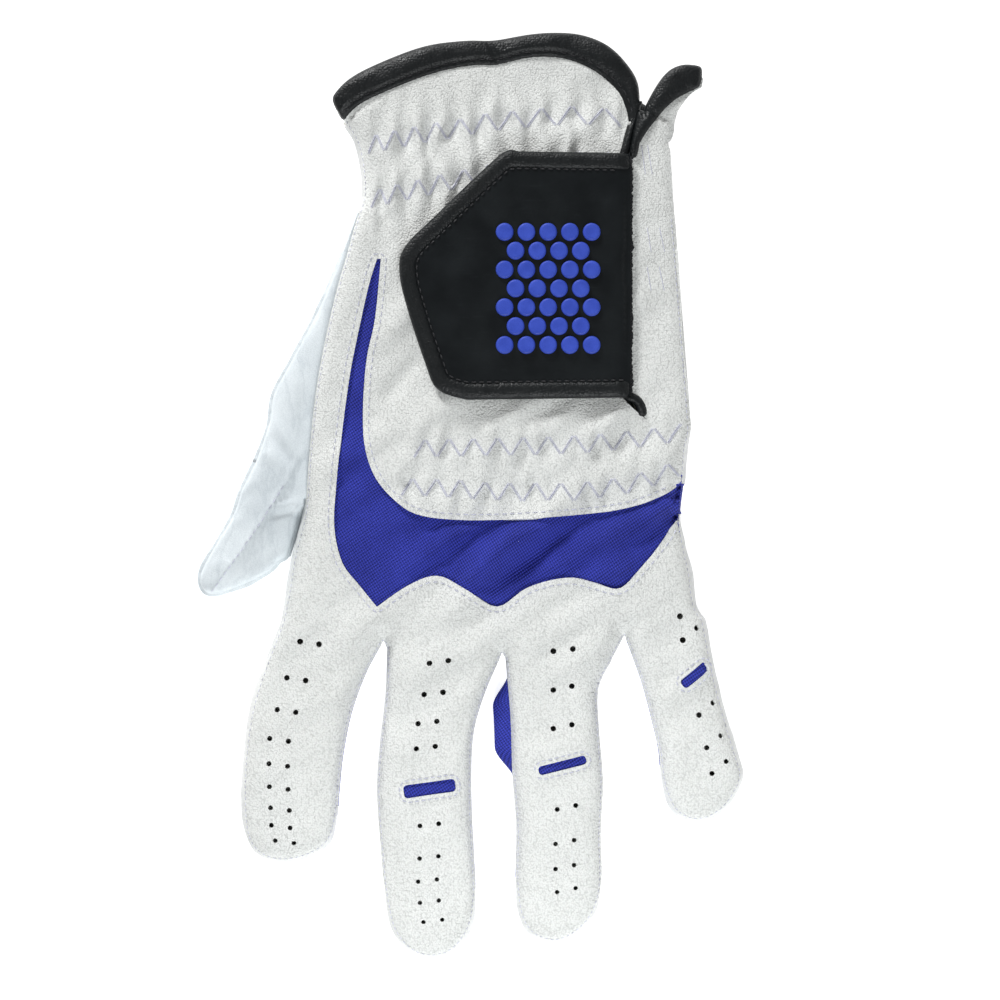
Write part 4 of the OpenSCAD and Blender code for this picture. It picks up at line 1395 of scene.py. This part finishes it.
def laid(stitch_set, surface, lift):
    """Stitches on a surface: their ends dive into it and their middles stand on it."""
    spots = surface(stitch_set.reshape(-1, 2)).reshape(*stitch_set.shape[:2], 3)
    spots[:, 1:-1, 2] += lift
    spots[:, [0, -1], 2] += STITCH_DIVE
    return spots


def doubled(stitch_set, apart):
    """Each stitch twice, side by side."""
    d = stitch_set[:, -1] - stitch_set[:, 0]
    side = np.stack([-d[:, 1], d[:, 0]], axis=1) / np.linalg.norm(d, axis=1)[:, None]
    return np.concatenate([stitch_set + side[:, None] * apart / 2, stitch_set - side[:, None] * apart / 2])


def zigzag(curve, x0, x1, tight=0.0):
    """Corner points of a zigzag about a centre line; tight squeezes the points at its start."""
    count = int((x1 - x0) / PITCH * 2)
    t = np.linspace(0, 1, count + 1)
    x = x0 + (x1 - x0) * (t + tight * (t * t - t))
    y = np.polyval(curve, x) + DEPTH / 2 * np.where(np.arange(count + 1) % 2, 1, -1)
    return np.column_stack([x, y]) + rng.normal(0, 0.08, (count + 1, 2))


def leg_stitches(corner_points):
    """Each leg of a zigzag as one long stitch."""
    t = np.linspace(0.02, 0.98, LEG_POINTS)[:, None]
    return np.array([a + (b - a) * t for a, b in zip(corner_points, corner_points[1:])])


for node, first_row in (("cuff_zigzag_thread", 0), ("knuckle_zigzag_thread", CUFF_ROWS)):
    rows = [zigzag(*ROWS[first_row + k], tight=0.35 if first_row == 0 else 0.08) for k in (0, 1)]
    sewn = np.concatenate([doubled(leg_stitches(row), TWIN_GAP) for row in rows])
    middle = sewn[:, LEG_POINTS // 2]
    keep = inside(middle, back_outline) & (back_edge.nearest(middle)[0] > ROW_END)
    keep &= ~inside(middle, wing_outline)
    sew(f"{node}_stitches", sewn[keep], on_skin, STITCH_LIFT, THREAD * 0.75, "hand", node)


sewn = []
for loop in outlines("wing_zigzag_thread"):
    low, high = loop.min(0), loop.max(0)
    strokes = ((low[0], high[1]), (low[0] + 1.2, low[1])), ((high[0] - 1.4, high[1]), (high[0], low[1]))
    sewn += [leg_stitches(np.array(ends)) for ends in strokes]
sewn = np.concatenate(sewn)
sew("wing_zigzag_stitches", sewn, on_skin, 0.02, THREAD * 0.7, "side_wing", "wing_zigzag_thread")

# Topstitching along the cut-out for the knit
TOPSTITCH_IN, SEAM_IN = 1.5, 0.6
back_out = outward_normals(back_outline)
cut_edge = inside(back_outline, outline("knit_insert", STEP)) & ~folded
shifted = back_outline - back_out * TOPSTITCH_IN
keep = cut_edge & (back_edge.nearest(shifted)[0] > TOPSTITCH_IN * 0.93)
sewn = sewn_along(shifted[keep], TOPSTITCH_PITCH, LONG_SHARE)
sew("insert_stitches", sewn, on_skin, 0.08, THREAD * 0.9, "hand", "insert_thread")

# Seams along the folded edges
shifted = back_outline - back_out * SEAM_IN
keep = folded & (back_edge.nearest(shifted)[0] > SEAM_IN * 0.9)
sewn = sewn_along(shifted[keep], SEAM_PITCH, SEAM_SHARE, fewest=5)
owner = region_of(sewn[:, 2])
sewn, owner = (part[~inside(sewn[:, 2], wing_outline)] for part in (sewn, owner))
for body in sorted(set(owner)):
    sew(f"{body}_seam_stitches", sewn[owner == body], on_skin, 0.06, THREAD * 0.8, body)

# Stitches round the knuckle slots
SLOT_OUT = 1.1
for digit in FINGERS[1:]:
    loop = next(loop for loop in outlines(f"{digit}_back")[1:] if np.ptp(loop[:, 0]) >= SLOT_WIDTH)
    loop = resampled(loop, 0.4)
    ring = loop + outward_normals(loop) * SLOT_OUT
    ring = np.concatenate([ring, ring[:1]])
    sewn = stitches(ring, SLOT_PITCH, LONG_SHARE)
    sew(f"{digit}_slot_stitches", sewn, on_skin, 0.12, THREAD, digit, f"{digit}_knuckle_thread")


# Black stitches inside the tab's binding
def on_panel(points):
    return np.column_stack([points, panel_height(points)])


sewn = sewn_along(band_ring[inner_part], TAB_PITCH, TRIM_SHARE)
sew("tab_stitches", sewn, on_panel, 0.18, TAB_THREAD, "closure_tab", "tab_thread", slot="black_thread")

# Black stitches in the groove of the cuff's binding
def on_roll(points):
    flat, z = cuff_top
    return np.column_stack([points, z[Edge(flat, closed=False).nearest(points)[1]]])


sewn = sewn_along(cuff_groove, CUFF_PITCH, TRIM_SHARE)
sew("cuff_binding_stitches", sewn, on_roll, STITCH_LIFT, THREAD, "hand", slot="black_thread")


# The thumb's centre seam
def on_thumb(points):
    return np.column_stack([thumb_shift(points), thumb_height(points)])


sewn = stitches(ridge_line, THUMB_PITCH, TRIM_SHARE)
keep = region_of(sewn[:, 2], ["thumb"]) == "thumb"
sew("thumb_ridge_stitches", sewn[keep], on_thumb, STITCH_LIFT, THUMB_THREAD, "thumb", "thumb_seam_thread")


# --- Camera, light and floor ---

VIEW_DISTANCE = 1000.0
VIEW_WIDTH = 260.0
VIEW_CENTRE = (7.8, -0.9, 6.0)

camera = bpy.data.objects.new("camera", bpy.data.cameras.new("camera"))
bpy.context.scene.collection.objects.link(camera)
camera.location = Vector((VIEW_CENTRE[0], VIEW_CENTRE[1], VIEW_CENTRE[2] + VIEW_DISTANCE)) * MM
camera.data.lens = camera.data.sensor_width * VIEW_DISTANCE / VIEW_WIDTH
bpy.context.scene.camera = camera


def lamp(name, place, target, size, power, colour=(1, 1, 1)):
    """A square soft light, in millimetres, aimed at a point."""
    data = bpy.data.lights.new(name, "AREA")
    data.size, data.energy, data.color = size * MM, power, colour
    obj = bpy.data.objects.new(name, data)
    bpy.context.scene.collection.objects.link(obj)
    obj.location = Vector(place) * MM
    obj.rotation_euler = (Vector(target) - Vector(place)).to_track_quat("-Z", "Y").to_euler()


# Place, target, size and power; the fill is a little cooler
lamp("key", (-420, 1080, 470), (0, 0, 0), 240, 12.6)
lamp("fill", (60, -330, 300), (0, -100, 0), 220, 1.25, (0.97, 0.99, 1.0))

SKY_STRENGTH, FLOOR_GLOW = 0.27, 0.6
world = bpy.data.worlds.new("studio")
world.use_nodes = True
sky = world.node_tree.nodes["Background"]
sky.inputs["Color"].default_value = (1, 1, 1, 1)
sky.inputs["Strength"].default_value = SKY_STRENGTH
bpy.context.scene.world = world

FLOOR_SIZE, FLOOR_DROP = 3000, 0.05
bpy.ops.mesh.primitive_plane_add(size=FLOOR_SIZE * MM, location=(0, 0, -FLOOR_DROP * MM))
floor = bpy.context.object
floor.name = "floor"
paper = Surface("pale_floor", Specular_IOR_Level=0.1, Emission_Strength=FLOOR_GLOW)
paper.shader.inputs["Emission Color"].default_value = (1, 1, 1, 1)
paper.place = paper.node("TexCoord", 3)
fibres = paper.noise(3.0, 3.0)
floor.data.materials.append(paper.finish(fibres, (0.97, 0.97, 0.97), (0.95, 0.95, 0.95), 0.9, fibres, 0.02))

scene = bpy.context.scene
scene.view_settings.view_transform = "Standard"
scene.view_settings.look = "None"
